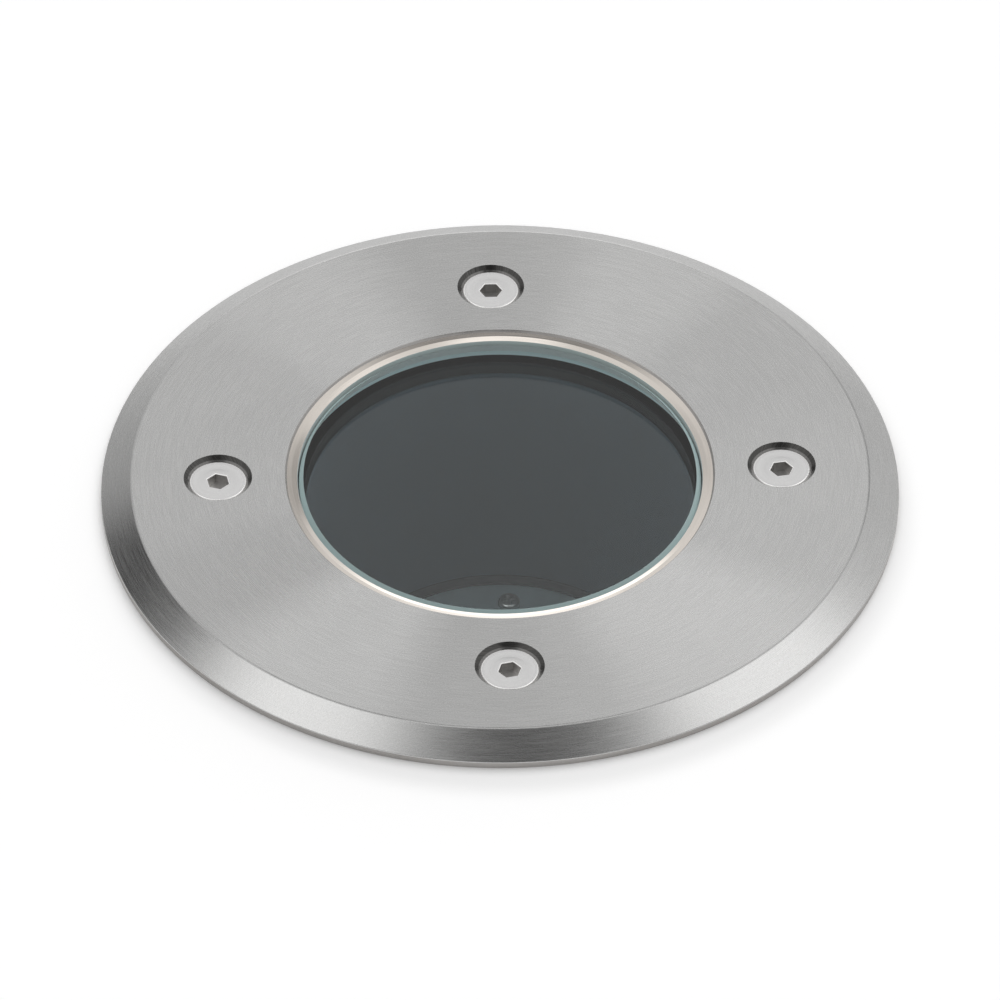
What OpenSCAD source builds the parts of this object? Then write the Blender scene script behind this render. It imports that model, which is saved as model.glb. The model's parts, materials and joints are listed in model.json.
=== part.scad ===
// Round recessed ground light: a flush window under a stainless trim ring, a finned cast
// housing with the lamp and its driver, and a moulded sleeve that lines the hole.
// The origin is on the light's axis at ground level, which is the trim ring's underside.
// The trim screws lie on the X and Y axes, and +Z points up, out of the ground.

/* [Trim ring] */
// Thickness of the trim ring
trim_t = 5; // [4.7:0.1:6]
// Width of the outer chamfer, measured across the ring
chamfer_w = 6; // [2:0.5:7]
// Height of the plain edge below the outer chamfer
edge_h = 1.5; // [1:0.1:2.5]
// Diameter of the window hole in the trim ring
window_d = 81.2; // [70:0.2:96]
// Width of the rounded lip round the window hole
lip_w = 2.1; // [1:0.1:2.6]
// Drop of the rounded lip round the window hole
lip_drop = 1; // [0.3:0.05:1.2]
// How far the trim ring covers the ground past the sleeve
trim_cover_w = 10; // [6:0.5:16]

/* [Trim screws] */
// Wall between the glass recess and the seal pockets of the trim screws
recess_land = 3.05; // [2:0.05:6]
// Thread diameter of the trim screws
screw_d = 6; // [5:0.5:6.5]
// Head diameter of the trim screws
screw_head_d = 11.4; // [10:0.1:12]
// Length of the trim screws, from the top of the head
screw_l = 25; // [20:1:30]
// Width of the hex socket across its flats
socket_af = 4; // [3:0.5:4.5]
// Depth of the hex socket
socket_depth = 2.4; // [1.6:0.1:2.8]
// How much wider the countersink's mouth is than the head, all round
sink_margin = 1.15; // [0.7:0.05:1.3]

/* [Window] */
// Width of the glass flange that the trim ring holds down
glass_flange_w = 6.4; // [5:0.1:7]
// Thickness of the glass flange
glass_flange_t = 4; // [3:0.1:5]
// Width of the ground edge round the top of the glass
glass_arris = 0.9; // [0.4:0.1:1.5]
// Thickness of the gasket over the glass flange
upper_gasket_t = 0.8; // [0.5:0.1:1.2]
// Thickness of the gasket under the glass flange
lower_gasket_t = 3; // [2:0.1:4]
// How far the lower gasket shows inside the window hole
gasket_show_w = 1.6; // [0.8:0.1:2.4]

/* [Lamp chamber] */
// Depth of the mounting plate's top below ground level
chamber_depth = 60.5; // [56:0.5:70]
// How much the cone narrows down to the mounting plate, all round
cone_taper = 4.8; // [2:0.1:8]
// Thickness of the cone's wall
cone_t = 1.2; // [0.8:0.1:1.5]
// Thickness of the mounting plate
plate_t = 2.5; // [2:0.1:4]
// Distance from the housing's inner wall to the plate screws
post_inset = 14; // [9:0.1:15]
// Radius of the lens holder
holder_r = 12; // [10:0.1:14]
// Height of the lens holder
holder_h = 10.5; // [9:0.5:13]

/* [Housing] */
// Thickness of the collar under the trim ring
collar_t = 14; // [12:0.5:18]
// Wall of the housing's body
housing_wall = 3.5; // [2.5:0.1:4.5]
// Thickness of the housing's floor
floor_t = 4; // [3.5:0.1:6]
// Wall of the bosses round the threaded inserts
boss_wall = 2; // [1.5:0.1:3]
// Height of the driver space between the mounting plate and the floor
driver_space_h = 32; // [31:0.5:40]
// Number of cooling fins
fin_count = 16; // [8:4:20]
// Reach of the cooling fins from the body
fin_reach = 8; // [4:0.5:9]
// Thickness of the cooling fins
fin_t = 2.4; // [1.6:0.1:3]

/* [Driver] */
// Gap between the driver's case and the posts at its corners
driver_gap = 1.65; // [1:0.05:4]
// Width of the driver's case
driver_w = 26; // [22:0.5:30]
// Height of the driver's case
driver_h = 18; // [14:0.5:19]

/* [Cable gland] */
// Diameter of the cable that the gland's seal grips
cable_d = 8; // [6:0.2:9]
// Wall of the rubber seal round the cable
seal_wall = 2.4; // [1.6:0.1:3]
// Wall of the gland's neck round the seal
neck_wall = 1.5; // [1.2:0.1:2.5]
// How far the gland's flats stand out from its thread
gland_flat_w = 2; // [1.5:0.1:4]

/* [Sleeve] */
// Depth of the sleeve below ground level
sleeve_depth = 150; // [142:1:200]
// Wall of the sleeve
sleeve_wall = 3; // [2:0.1:4]
// Height of the cable arches in the foot of the sleeve
arch_h = 26; // [22:1:30]
// Width of the cable arches in the foot of the sleeve
arch_w = 26; // [22:1:30]
// Width of the sleeve's foot
foot_w = 12.1; // [6:0.1:20]

/* [Hidden] */
$fn = 96;

// Clearances and cuts
// Gap of a fixed fit, such as an insert in its boss
fit_gap = 0.05;
// Gap between a countersink and its screw head
seat_gap = 0.06;
// Radial gap of a screw in a clearance hole
screw_gap = 0.3;
// Radial gap between the glass and the window hole
glass_gap = 0.3;
// Radial gap round the glass flange and its gaskets
recess_gap = 0.6;
// Radial gap between the housing and the sleeve
sleeve_gap = 0.6;
// How far a cut runs past the face that it opens
overrun = 1;
// How far a web or fin is sunk into the wall that carries it
root_sink = 1;

// Trim ring and screws
window_r = window_d / 2;
lip_steps = 6;
screw_r = screw_d / 2;
// The plain shank stands for the thread at just under its outer radius
thread_ease = 0.05;
shank_r = screw_r - thread_ease;
head_r = screw_head_d / 2;
sink_r = head_r + sink_margin;
head_land = 0.2;
head_edge = 0.25;
// The countersink is a right angle, so its radius falls as fast as its depth grows
head_land_z = trim_t - (sink_r - head_r);
head_top_z = head_land_z + head_land;
head_neck_z = head_land_z - (head_r - seat_gap - shank_r);
screw_tip_z = head_top_z - screw_l;
tip_chamfer = 0.8;
socket_r = socket_af / 2 / cos(30);
screw_hole_r = screw_r + screw_gap;
// Turn of each hex socket, in degrees, for the right, back, left and front screws
socket_turns = [8, 0, 27, 12];

// Window
glass_r = window_r - glass_gap;
glass_top_z = trim_t - lip_drop;
glass_flange_r = window_r + glass_flange_w;
glass_flange_top_z = -upper_gasket_t;
glass_base_z = glass_flange_top_z - glass_flange_t;
gasket_seat_z = glass_base_z - lower_gasket_t;
gasket_r = window_r - gasket_show_w;
gasket_edge = 0.2;

// Threaded inserts and the seals on top of them
insert_wall = 1.5;
insert_bore_r = shank_r + fit_gap;
insert_r = insert_bore_r + insert_wall;
seal_section_r = 1.1;
seal_at = shank_r + screw_gap + gasket_edge + seal_section_r;
seal_pocket_r = seal_at + seal_section_r + gasket_edge;
seal_pocket_depth = 2 * seal_section_r + gasket_edge;
insert_top_z = -seal_pocket_depth;
insert_spare = 2.5;
insert_base_z = screw_tip_z + insert_spare;
insert_groove_w = 1.2;
insert_groove_depth = 0.5;

// Housing
recess_r = glass_flange_r + recess_gap;
seat_w = 7.2;
screw_at = recess_r + recess_land + seal_pocket_r;
cavity_r = recess_r - seat_w;
body_r = cavity_r + housing_wall;
body_draft = 1;
body_base_r = body_r - body_draft;
boss_r = insert_r + boss_wall;
collar_margin = 3.4;
collar_r = screw_at + boss_r + collar_margin;
haunch_w = 8;
haunch_h = 12;
floor_chamfer = 3;
boss_floor = 3.5;
boss_base_z = screw_tip_z - boss_floor;
gusset_t = 4;
gusset_drop = 16;
fin_top_gap = 3;
fin_foot_gap = 4;
fin_slope_share = 0.9;

// Lamp chamber
plate_z = -chamber_depth;
plate_under_z = plate_z - plate_t;
plate_edge_gap = 0.5;
holder_wall = 1.3;
plate_r = cavity_r - plate_edge_gap;
cone_lip_t = 1;
cone_foot_t = 0.8;
cone_foot_w = 1.9;
cone_lip_w = 3.4;
cone_lip_r = cavity_r + cone_lip_w;
cone_top_gap = 0.4;
cone_top_r = cavity_r - cone_top_gap - cone_t;
cone_base_r = cone_top_r - cone_taper;
board_gap = 0.7;
board_r = holder_r - holder_wall - board_gap;
pad_inset = 1;
pad_r = board_r - pad_inset;
pad_t = 0.5;
board_t = 1.6;
chip_r = 4.5;
chip_t = 0.8;
pad_top_z = plate_z + pad_t;
board_top_z = pad_top_z + board_t;
chip_top_z = board_top_z + chip_t;
holder_top_z = plate_z + holder_h;
holder_lip_w = 1;
holder_lip_t = 1;
ear_r = 3;
ear_gap = 1;
ear_at = holder_r + ear_r + ear_gap;
ear_reach = ear_at - holder_r + holder_wall / 2;
ear_turns = [45, 225];
ear_t = 3;
lens_rim_t = 1.6;
lens_rim_r = holder_r - holder_wall - fit_gap;
lens_top_z = holder_top_z - holder_lip_t;
lens_neck_r = 5;
lens_neck_gap = 0.3;

// Small screws
small_screw_r = 1.25;
small_head_r = 2.3;
small_head_h = 1.5;
small_slot_w = 0.7;
small_slot_depth = 0.7;
plate_screw_l = 10;
holder_screw_l = 2.2;
bracket_screw_l = 2.2;
screw_floor = 1;
block_screw_l = floor_t - screw_floor;
post_r = 3.6;
post_groove_t = 1.6;
post_groove_depth = 0.6;
stud_r = 2;
stud_l = floor_t - screw_floor;
post_turns = [84, 204, 324];
plate_screw_at = cavity_r - post_inset;

// Driver, its bracket and its leads
floor_z = plate_under_z - driver_space_h;
housing_base_z = floor_z - floor_t;
driver_base_z = plate_under_z - driver_h;
// The case fits between the two front posts, which stand at 30 degrees to its length
driver_l = 2 * (plate_screw_at * cos(30) - post_r - driver_gap);
driver_round = 2;
strap_t = 1.2;
strap_w = 9;
strap_foot_w = 7.5;
strap_x = driver_l / 2 + fit_gap;
strap_foot_x = strap_x + strap_t + strap_foot_w;
strap_screw_x = strap_x + strap_t + strap_foot_w / 2;
grommet_r = 3.6;
grommet_gap = 3.4;
grommet_at = holder_r + grommet_r + grommet_gap;
grommet_waist_r = 2.8;
grommet_bore_r = 2.1;
grommet_lip_t = 0.9;
lamp_lead_r = 0.7;
lamp_lead_x = 1.1;
lamp_lead_drop = 7;
lamp_lead_end = (chip_r + board_r) / 2;
driver_lead_r = 0.9;
driver_lead_drop = 12;
driver_lead_gap = 3;
// Bends of the leads: their radius over the wire's, their steps and the wire's sides
bend_ratio = 2.2;
bend_steps = 4;
wire_sides = 8;
lead_slot_w = 5;
lead_slot_h = 1.9;

// Terminal block and earth terminal on the housing's floor
block_l = 24;
block_w = 12;
block_h = 12;
block_inset = 13.4;
block_y = block_inset - cavity_r;
block_foot_l = 5;
block_foot_t = 3;
pole_count = 3;
pole_step = 7.4;
pole_r = 2.1;
pole_depth = 7;
pole_screw_h = 2.5;
wire_hole_r = 1.6;
wire_hole_h = 4.2;
earth_inset = 12.4;
earth_x = earth_inset - cavity_r;
earth_boss_r = 4.6;
earth_boss_h = 5;
earth_screw_r = 2;
earth_head_r = 3.6;
earth_head_h = 2.4;
earth_screw_l = 6;
earth_washer_r = 4.4;
earth_washer_t = 0.9;

// Cable gland
cable_r = cable_d / 2;
seal_r = cable_r + seal_wall;
gland_r = seal_r + neck_wall;
gland_hole_gap = 0.1;
gland_hole_r = gland_r + gland_hole_gap;
gland_flat_r = gland_hole_r + gland_flat_w;
gland_hex_r = gland_flat_r / cos(30);
locknut_h = 5;
stub_spare = 1.5;
stub_top_z = floor_z + locknut_h + stub_spare;
ring_section_r = 0.9;
ring_at = gland_hole_r + ring_section_r;
flange_top_z = housing_base_z - 2 * ring_section_r;
flange_h = 5.5;
flange_base_z = flange_top_z - flange_h;
neck_h = 8;
neck_base_z = flange_base_z - neck_h;
seal_h = 10;
seal_seat_depth = 1;
seal_top_z = flange_base_z - seal_seat_depth;
seal_base_z = seal_top_z - seal_h;
cable_gap = 0.7;
nut_gap = 0.3;
nut_top_z = flange_base_z - nut_gap;
nut_end_t = 2.6;
nut_base_z = seal_base_z - fit_gap - nut_end_t;
nut_dome_h = 5;
nut_dome_w = 3;

// Sleeve
sleeve_in_r = collar_r + sleeve_gap;
sleeve_r = sleeve_in_r + sleeve_wall;
ledge_r = screw_at + boss_r + recess_gap;
ledge_t = 3;
ledge_z = -collar_t;
sleeve_taper = 1.5;
foot_t = 3;
sleeve_base_z = -sleeve_depth;
lower_r = ledge_r + sleeve_wall;
foot_r = ledge_r - sleeve_taper - foot_w;
sleeve_rib_count = 8;
sleeve_rib_t = 3;
sleeve_rib_inset = 0.5;
sleeve_rib_r = sleeve_r - sleeve_rib_inset;
trim_r = sleeve_r + trim_cover_w;
rib_foot_slope = 6;
arch_crown_share = 0.75;
arch_crown_r = arch_w * arch_crown_share;

// Colours
steel_colour = [0.72, 0.72, 0.71];
cast_colour = [0.36, 0.37, 0.39];
dark_colour = [0.16, 0.18, 0.2];
black_colour = [0.06, 0.06, 0.07];
brass_colour = [0.78, 0.62, 0.32];
glass_colour = [0.62, 0.82, 0.8, 0.4];
plate_colour = [0.5, 0.55, 0.56];
white_colour = [0.92, 0.92, 0.9];

// Repeats its children round the axis, one for each angle of the list
module at_turns(turns, radius) {
    for (turn = turns) {
        rotate(turn) {
            translate([radius, 0, 0]) {
                children();
            }
        }
    }
}

// Even turns round a full circle, from the first one
function even_turns(count, first) = [for (i = [0:count - 1]) first + i * 360 / count];

// A flat web in the XZ plane, centred on it
module web(points, thickness) {
    rotate([90, 0, 0]) {
        linear_extrude(thickness, center = true) {
            polygon(points);
        }
    }
}

// A cylinder between two heights
module post(radius, low, high) {
    translate([0, 0, low]) {
        cylinder(r = radius, h = high - low);
    }
}

// A ring between two heights
module ring(inner, outer, low, high) {
    difference() {
        post(outer, low, high);
        post(inner, low - overrun, high + overrun);
    }
}

// A slotted pan-head screw with its head on the plane through the origin
module small_screw(length) {
    difference() {
        union() {
            post(small_head_r, 0, small_head_h);
            post(small_screw_r, -length, small_head_h / 2);
        }
        translate([0, 0, small_head_h]) {
            cube([2 * small_head_r + overrun, small_slot_w, 2 * small_slot_depth], center = true);
        }
    }
}

// Route with each square corner rounded, through points in the YZ plane
function rounded_route(points, bend) = concat(
    [points[0]],
    [for (i = [1:len(points) - 2])
        let (
            back = (points[i - 1] - points[i]) / norm(points[i - 1] - points[i]) * bend,
            ahead = (points[i + 1] - points[i]) / norm(points[i + 1] - points[i]) * bend
        )
        for (turn = [0:90 / bend_steps:90])
            points[i] + back * (1 - sin(turn)) + ahead * (1 - cos(turn))
    ],
    [points[len(points) - 1]]
);

// Direction of a route at one of its points
function route_direction(route, i) =
    let (
        before = route[max(i - 1, 0)],
        after = route[min(i + 1, len(route) - 1)]
    )
    (after - before) / norm(after - before);

// A round wire in the YZ plane, bent at the corners of its route
module wire(points, radius) {
    route = rounded_route(points, radius * bend_ratio);
    count = len(route);
    corners = [
        for (i = [0:count - 1])
            let (along = route_direction(route, i))
            for (k = [0:wire_sides - 1])
                let (turn = k * 360 / wire_sides)
                [radius * cos(turn),
                 route[i][0] - along[1] * radius * sin(turn),
                 route[i][1] + along[0] * radius * sin(turn)]
    ];
    sides = [
        for (i = [0:count - 2])
            for (k = [0:wire_sides - 1])
                let (next = (k + 1) % wire_sides)
                [i * wire_sides + k, (i + 1) * wire_sides + k,
                 (i + 1) * wire_sides + next, i * wire_sides + next]
    ];
    start = [for (k = [0:wire_sides - 1]) k];
    end = [for (k = [0:wire_sides - 1]) count * wire_sides - 1 - k];
    polyhedron(points = corners, faces = concat(sides, [start, end]));
}

// Trim ring, window and trim screws

// Rounded lip of the window hole, from its top to the hole
function lip_points() = [
    for (i = [0:lip_steps])
        [window_r + lip_w * (1 - sin(i * 90 / lip_steps)),
         glass_top_z + lip_drop * cos(i * 90 / lip_steps)]
];

module trim_profile() {
    polygon(concat(
        [[window_r, 0], [trim_r, 0], [trim_r, edge_h], [trim_r - chamfer_w, trim_t]],
        lip_points()
    ));
}

module trim_ring() {
    color(steel_colour) difference() {
        rotate_extrude() {
            trim_profile();
        }
        at_turns(even_turns(4, 0), screw_at) {
            post(screw_hole_r, -overrun, trim_t);
            translate([0, 0, trim_t - (sink_r - screw_r)]) {
                cylinder(r1 = screw_r, r2 = sink_r + overrun, h = sink_r - screw_r + overrun);
            }
        }
    }
}

// Outline of a countersunk screw, on its own axis
module screw_profile() {
    polygon([
        [0, screw_tip_z],
        [shank_r - tip_chamfer, screw_tip_z],
        [shank_r, screw_tip_z + tip_chamfer],
        [shank_r, head_neck_z],
        [head_r - seat_gap, head_land_z],
        [head_r - seat_gap, head_top_z - head_edge],
        [head_r - seat_gap - head_edge, head_top_z],
        [0, head_top_z]
    ]);
}

// One trim screw in its place, with its hex socket turned as it was left
module trim_screw(place) {
    color(steel_colour) at_turns([place * 90], screw_at) {
        difference() {
            rotate_extrude() {
                screw_profile();
            }
            rotate(socket_turns[place]) {
                translate([0, 0, head_top_z - socket_depth]) {
                    cylinder(r = socket_r, h = socket_depth + overrun, $fn = 6);
                }
            }
            translate([0, 0, head_top_z - socket_depth - socket_r / 2]) {
                cylinder(r1 = 0, r2 = socket_af / 2, h = socket_r / 2 + fit_gap);
            }
        }
    }
}

module trim_screw_right() {
    trim_screw(0);
}

module trim_screw_back() {
    trim_screw(1);
}

module trim_screw_left() {
    trim_screw(2);
}

module trim_screw_front() {
    trim_screw(3);
}

module window_glass() {
    color(glass_colour) rotate_extrude() {
        polygon([
            [0, glass_base_z],
            [glass_flange_r, glass_base_z],
            [glass_flange_r, glass_flange_top_z],
            [glass_r, glass_flange_top_z],
            [glass_r, glass_top_z - glass_arris],
            [glass_r - glass_arris, glass_top_z],
            [0, glass_top_z]
        ]);
    }
}

module upper_glass_gasket() {
    color(black_colour) {
        ring(window_r + glass_gap, glass_flange_r - gasket_edge, glass_flange_top_z, 0);
    }
}

module lower_glass_gasket() {
    color(black_colour) {
        ring(gasket_r, glass_flange_r + gasket_edge, gasket_seat_z, glass_base_z);
    }
}

// Housing with its inserts and seals

// The pot in section: collar, glass recess, cone rebate, wall and floor
module housing_profile() {
    polygon([
        [0, housing_base_z],
        [body_base_r - floor_chamfer, housing_base_z],
        [body_base_r, housing_base_z + floor_chamfer],
        [body_r, -collar_t - haunch_h],
        [body_r + haunch_w, -collar_t],
        [collar_r, -collar_t],
        [collar_r, 0],
        [recess_r, 0],
        [recess_r, gasket_seat_z],
        [cone_lip_r + gasket_edge, gasket_seat_z],
        [cone_lip_r + gasket_edge, gasket_seat_z - cone_lip_t],
        [cavity_r, gasket_seat_z - cone_lip_t],
        [cavity_r, floor_z],
        [0, floor_z]
    ]);
}

module cooling_fin() {
    web([
        [body_base_r - root_sink, -collar_t - haunch_h],
        [body_r + haunch_w - fin_top_gap, -collar_t - fin_top_gap],
        [body_r + fin_reach, -collar_t - haunch_h * fin_slope_share],
        [body_r + fin_reach, housing_base_z + fin_foot_gap + fin_reach],
        [body_base_r, housing_base_z + fin_foot_gap],
        [body_base_r - root_sink, housing_base_z + fin_foot_gap]
    ], fin_t);
}

// Boss of one trim screw, with the gusset that ties it to the body
module insert_boss() {
    translate([screw_at, 0, 0]) {
        post(boss_r, boss_base_z, root_sink - collar_t);
    }
    web([
        [body_r - root_sink, root_sink - collar_t],
        [screw_at, root_sink - collar_t],
        [screw_at, boss_base_z],
        [body_r - root_sink, boss_base_z - gusset_drop]
    ], gusset_t);
}

module housing() {
    color(cast_colour) difference() {
        union() {
            rotate_extrude() {
                housing_profile();
            }
            at_turns(even_turns(fin_count, 180 / fin_count), 0) {
                cooling_fin();
            }
            at_turns(even_turns(4, 0), 0) {
                insert_boss();
            }
            translate([earth_x, 0, 0]) {
                post(earth_boss_r, floor_z - root_sink, floor_z + earth_boss_h);
            }
        }
        at_turns(even_turns(4, 0), screw_at) {
            post(insert_r + fit_gap, screw_tip_z - overrun, 0);
            post(seal_pocket_r, insert_top_z, overrun);
        }
        at_turns(post_turns, plate_screw_at) {
            post(stud_r + fit_gap, floor_z - stud_l - fit_gap, floor_z + overrun);
        }
        translate([earth_x, 0, 0]) {
            post(earth_screw_r + fit_gap, floor_z + earth_boss_h - earth_screw_l,
                floor_z + earth_boss_h + overrun);
        }
        for (side = [-1, 1]) {
            translate([side * (block_l + block_foot_l) / 2, block_y, 0]) {
                post(small_screw_r + fit_gap, floor_z - block_screw_l, floor_z + overrun);
            }
        }
        post(gland_hole_r, housing_base_z - overrun, floor_z + overrun);
    }
}

module threaded_inserts() {
    color(brass_colour) at_turns(even_turns(4, 0), screw_at) {
        difference() {
            post(insert_r, insert_base_z, insert_top_z);
            post(insert_bore_r, insert_base_z - overrun, insert_top_z + overrun);
            translate([0, 0, (insert_base_z + insert_top_z) / 2]) {
                ring(insert_r - insert_groove_depth, insert_r + overrun,
                    -insert_groove_w / 2, insert_groove_w / 2);
            }
        }
    }
}

module screw_seals() {
    color(black_colour) at_turns(even_turns(4, 0), screw_at) {
        translate([0, 0, insert_top_z + seal_section_r + fit_gap]) {
            rotate_extrude() {
                translate([seal_at, 0]) {
                    circle(r = seal_section_r, $fn = 32);
                }
            }
        }
    }
}

// Lamp chamber

module antiglare_cone() {
    color(dark_colour) rotate_extrude() {
        polygon([
            [cone_base_r - cone_foot_w, plate_z],
            [cone_base_r + cone_t, plate_z],
            [cone_top_r + cone_t, gasket_seat_z - cone_lip_t],
            [cone_lip_r, gasket_seat_z - cone_lip_t],
            [cone_lip_r, gasket_seat_z],
            [cone_top_r, gasket_seat_z],
            [cone_base_r, plate_z + cone_foot_t],
            [cone_base_r - cone_foot_w, plate_z + cone_foot_t]
        ]);
    }
}

module mounting_plate() {
    color(plate_colour) difference() {
        post(plate_r, plate_under_z, plate_z);
        at_turns(post_turns, plate_screw_at) {
            post(small_screw_r + fit_gap, plate_under_z - overrun, plate_z + overrun);
        }
        at_turns(ear_turns, ear_at) {
            post(small_screw_r + fit_gap, plate_under_z - overrun, plate_z + overrun);
        }
        for (side = [-1, 1]) {
            translate([side * strap_screw_x, 0, 0]) {
                post(small_screw_r + fit_gap, plate_under_z - overrun, plate_z + overrun);
            }
        }
        translate([0, -grommet_at, 0]) {
            post(grommet_waist_r + fit_gap, plate_under_z - overrun, plate_z + overrun);
        }
    }
}

// Turned pillars that carry the mounting plate, each with a stud in the housing's floor
module plate_pillars() {
    color(steel_colour) at_turns(post_turns, plate_screw_at) {
        difference() {
            union() {
                post(post_r, floor_z, plate_under_z);
                post(stud_r, floor_z - stud_l, floor_z + root_sink);
            }
            ring(post_r - post_groove_depth, post_r + overrun, floor_z + post_groove_t,
                floor_z + 2 * post_groove_t);
            post(small_screw_r + fit_gap, plate_under_z - plate_screw_l, plate_under_z + overrun);
        }
    }
}

module plate_screws() {
    color(steel_colour) at_turns(post_turns, plate_screw_at) {
        translate([0, 0, plate_z]) {
            small_screw(plate_screw_l);
        }
    }
}

module thermal_pad() {
    color(white_colour) {
        post(pad_r, plate_z, pad_top_z);
    }
}

module led_board() {
    color(white_colour) {
        post(board_r, pad_top_z, board_top_z);
    }
}

module led_chip() {
    color([0.95, 0.8, 0.25]) {
        post(chip_r, board_top_z, chip_top_z);
    }
}

// Cup that centres the lens over the chip, with an ear for each screw
module lens_holder() {
    color(black_colour) difference() {
        union() {
            post(holder_r, plate_z, holder_top_z);
            at_turns(ear_turns, ear_at) {
                post(ear_r, plate_z, plate_z + ear_t);
                translate([-ear_reach / 2, 0, plate_z + ear_t / 2]) {
                    cube([ear_reach, 2 * ear_r - 2 * fit_gap, ear_t], center = true);
                }
            }
        }
        post(holder_r - holder_wall, plate_z - overrun, lens_top_z);
        post(holder_r - holder_wall - holder_lip_w, plate_z, holder_top_z + overrun);
        at_turns(ear_turns, ear_at) {
            post(small_screw_r + fit_gap, plate_z - overrun, plate_z + ear_t + overrun);
        }
        translate([-lead_slot_w / 2, -holder_r - overrun, board_top_z - fit_gap]) {
            cube([lead_slot_w, holder_r + overrun, lead_slot_h]);
        }
    }
}

module beam_lens() {
    color(glass_colour) rotate_extrude() {
        polygon([
            [0, chip_top_z + lens_neck_gap],
            [lens_neck_r, chip_top_z + lens_neck_gap],
            [lens_rim_r, lens_top_z - lens_rim_t],
            [lens_rim_r, lens_top_z],
            [0, lens_top_z]
        ]);
    }
}

module holder_screws() {
    color(steel_colour) at_turns(ear_turns, ear_at) {
        translate([0, 0, plate_z + ear_t]) {
            small_screw(ear_t + holder_screw_l);
        }
    }
}

// Driver space

module driver_case() {
    color(white_colour) translate([0, 0, driver_base_z]) {
        linear_extrude(driver_h) {
            difference() {
                square([driver_l, driver_w], center = true);
                for (x = [-1, 1], y = [-1, 1]) {
                    translate([x * driver_l / 2, y * driver_w / 2]) {
                        rotate(45) {
                            square(driver_round, center = true);
                        }
                    }
                }
            }
        }
    }
}

// Strap bent round the case, with a foot under the plate on each side
module driver_bracket() {
    low = driver_base_z - fit_gap;
    color(steel_colour) difference() {
        web([
            [-strap_foot_x, plate_under_z],
            [-strap_foot_x, plate_under_z - strap_t],
            [-strap_x - strap_t, plate_under_z - strap_t],
            [-strap_x - strap_t, low - strap_t],
            [strap_x + strap_t, low - strap_t],
            [strap_x + strap_t, plate_under_z - strap_t],
            [strap_foot_x, plate_under_z - strap_t],
            [strap_foot_x, plate_under_z],
            [strap_x, plate_under_z],
            [strap_x, low],
            [-strap_x, low],
            [-strap_x, plate_under_z]
        ], strap_w);
        for (side = [-1, 1]) {
            translate([side * strap_screw_x, 0, 0]) {
                post(small_screw_r + fit_gap, plate_under_z - strap_t - overrun,
                    plate_under_z + overrun);
            }
        }
    }
}

module bracket_screws() {
    color(steel_colour) for (side = [-1, 1]) {
        translate([side * strap_screw_x, 0, plate_under_z - strap_t]) {
            mirror([0, 0, 1]) {
                small_screw(strap_t + bracket_screw_l);
            }
        }
    }
}

module terminal_block() {
    color(white_colour) translate([0, block_y, floor_z]) {
        difference() {
            union() {
                translate([0, 0, block_h / 2]) {
                    cube([block_l, block_w, block_h], center = true);
                }
                translate([0, 0, block_foot_t / 2]) {
                    cube([block_l + 2 * block_foot_l, block_w / 2, block_foot_t], center = true);
                }
            }
            for (i = [0:pole_count - 1]) {
                translate([(i - (pole_count - 1) / 2) * pole_step, 0, 0]) {
                    post(pole_r, block_h - pole_depth, block_h + overrun);
                    translate([0, 0, wire_hole_h]) {
                        rotate([90, 0, 0]) {
                            cylinder(r = wire_hole_r, h = block_w + overrun, center = true);
                        }
                    }
                }
            }
            for (side = [-1, 1]) {
                translate([side * (block_l + block_foot_l) / 2, 0, 0]) {
                    post(small_screw_r + fit_gap, -overrun, block_foot_t + overrun);
                }
            }
        }
    }
}

module terminal_screws() {
    color(brass_colour) for (i = [0:pole_count - 1]) {
        translate([(i - (pole_count - 1) / 2) * pole_step, block_y, floor_z + block_h]) {
            difference() {
                post(pole_r - fit_gap, -pole_depth, -pole_depth + pole_screw_h);
                translate([0, 0, -pole_depth + pole_screw_h]) {
                    cube([2 * pole_r, small_slot_w, 2 * small_slot_depth], center = true);
                }
            }
        }
    }
}

module block_screws() {
    color(steel_colour) for (side = [-1, 1]) {
        translate([side * (block_l + block_foot_l) / 2, block_y, floor_z + block_foot_t]) {
            small_screw(block_foot_t + block_screw_l - fit_gap);
        }
    }
}

// Earth screw with its cupped washer on the floor's boss
module earth_terminal() {
    color(brass_colour) translate([earth_x, 0, floor_z + earth_boss_h]) {
        difference() {
            union() {
                post(earth_washer_r, 0, earth_washer_t);
                post(earth_head_r, 0, earth_washer_t + earth_head_h);
                post(earth_screw_r, -earth_screw_l, earth_washer_t);
            }
            translate([0, 0, earth_washer_t + earth_head_h]) {
                cube([2 * earth_head_r + overrun, small_slot_w, 2 * small_slot_depth],
                    center = true);
            }
        }
    }
}

// Two leads from the driver through the grommet to the board
module lamp_leads() {
    low = plate_under_z - lamp_lead_drop;
    high = board_top_z + lamp_lead_r + fit_gap;
    color([0.7, 0.1, 0.1]) for (side = [-1, 1]) {
        translate([side * lamp_lead_x, 0, 0]) {
            wire([
                [-driver_w / 2, low],
                [-grommet_at, low],
                [-grommet_at, high],
                [-lamp_lead_end, high]
            ], lamp_lead_r);
        }
    }
}

// Two leads from the terminal block to the driver
module driver_leads() {
    bend_y = block_y - block_w / 2 - driver_lead_gap;
    low = floor_z + wire_hole_h;
    high = plate_under_z - driver_lead_drop;
    color([0.12, 0.2, 0.5]) for (side = [-1, 1]) {
        translate([side * pole_step, 0, 0]) {
            wire([
                [block_y - block_w / 4, low],
                [bend_y, low],
                [bend_y, high],
                [-driver_w / 2, high]
            ], driver_lead_r);
        }
    }
}

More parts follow.
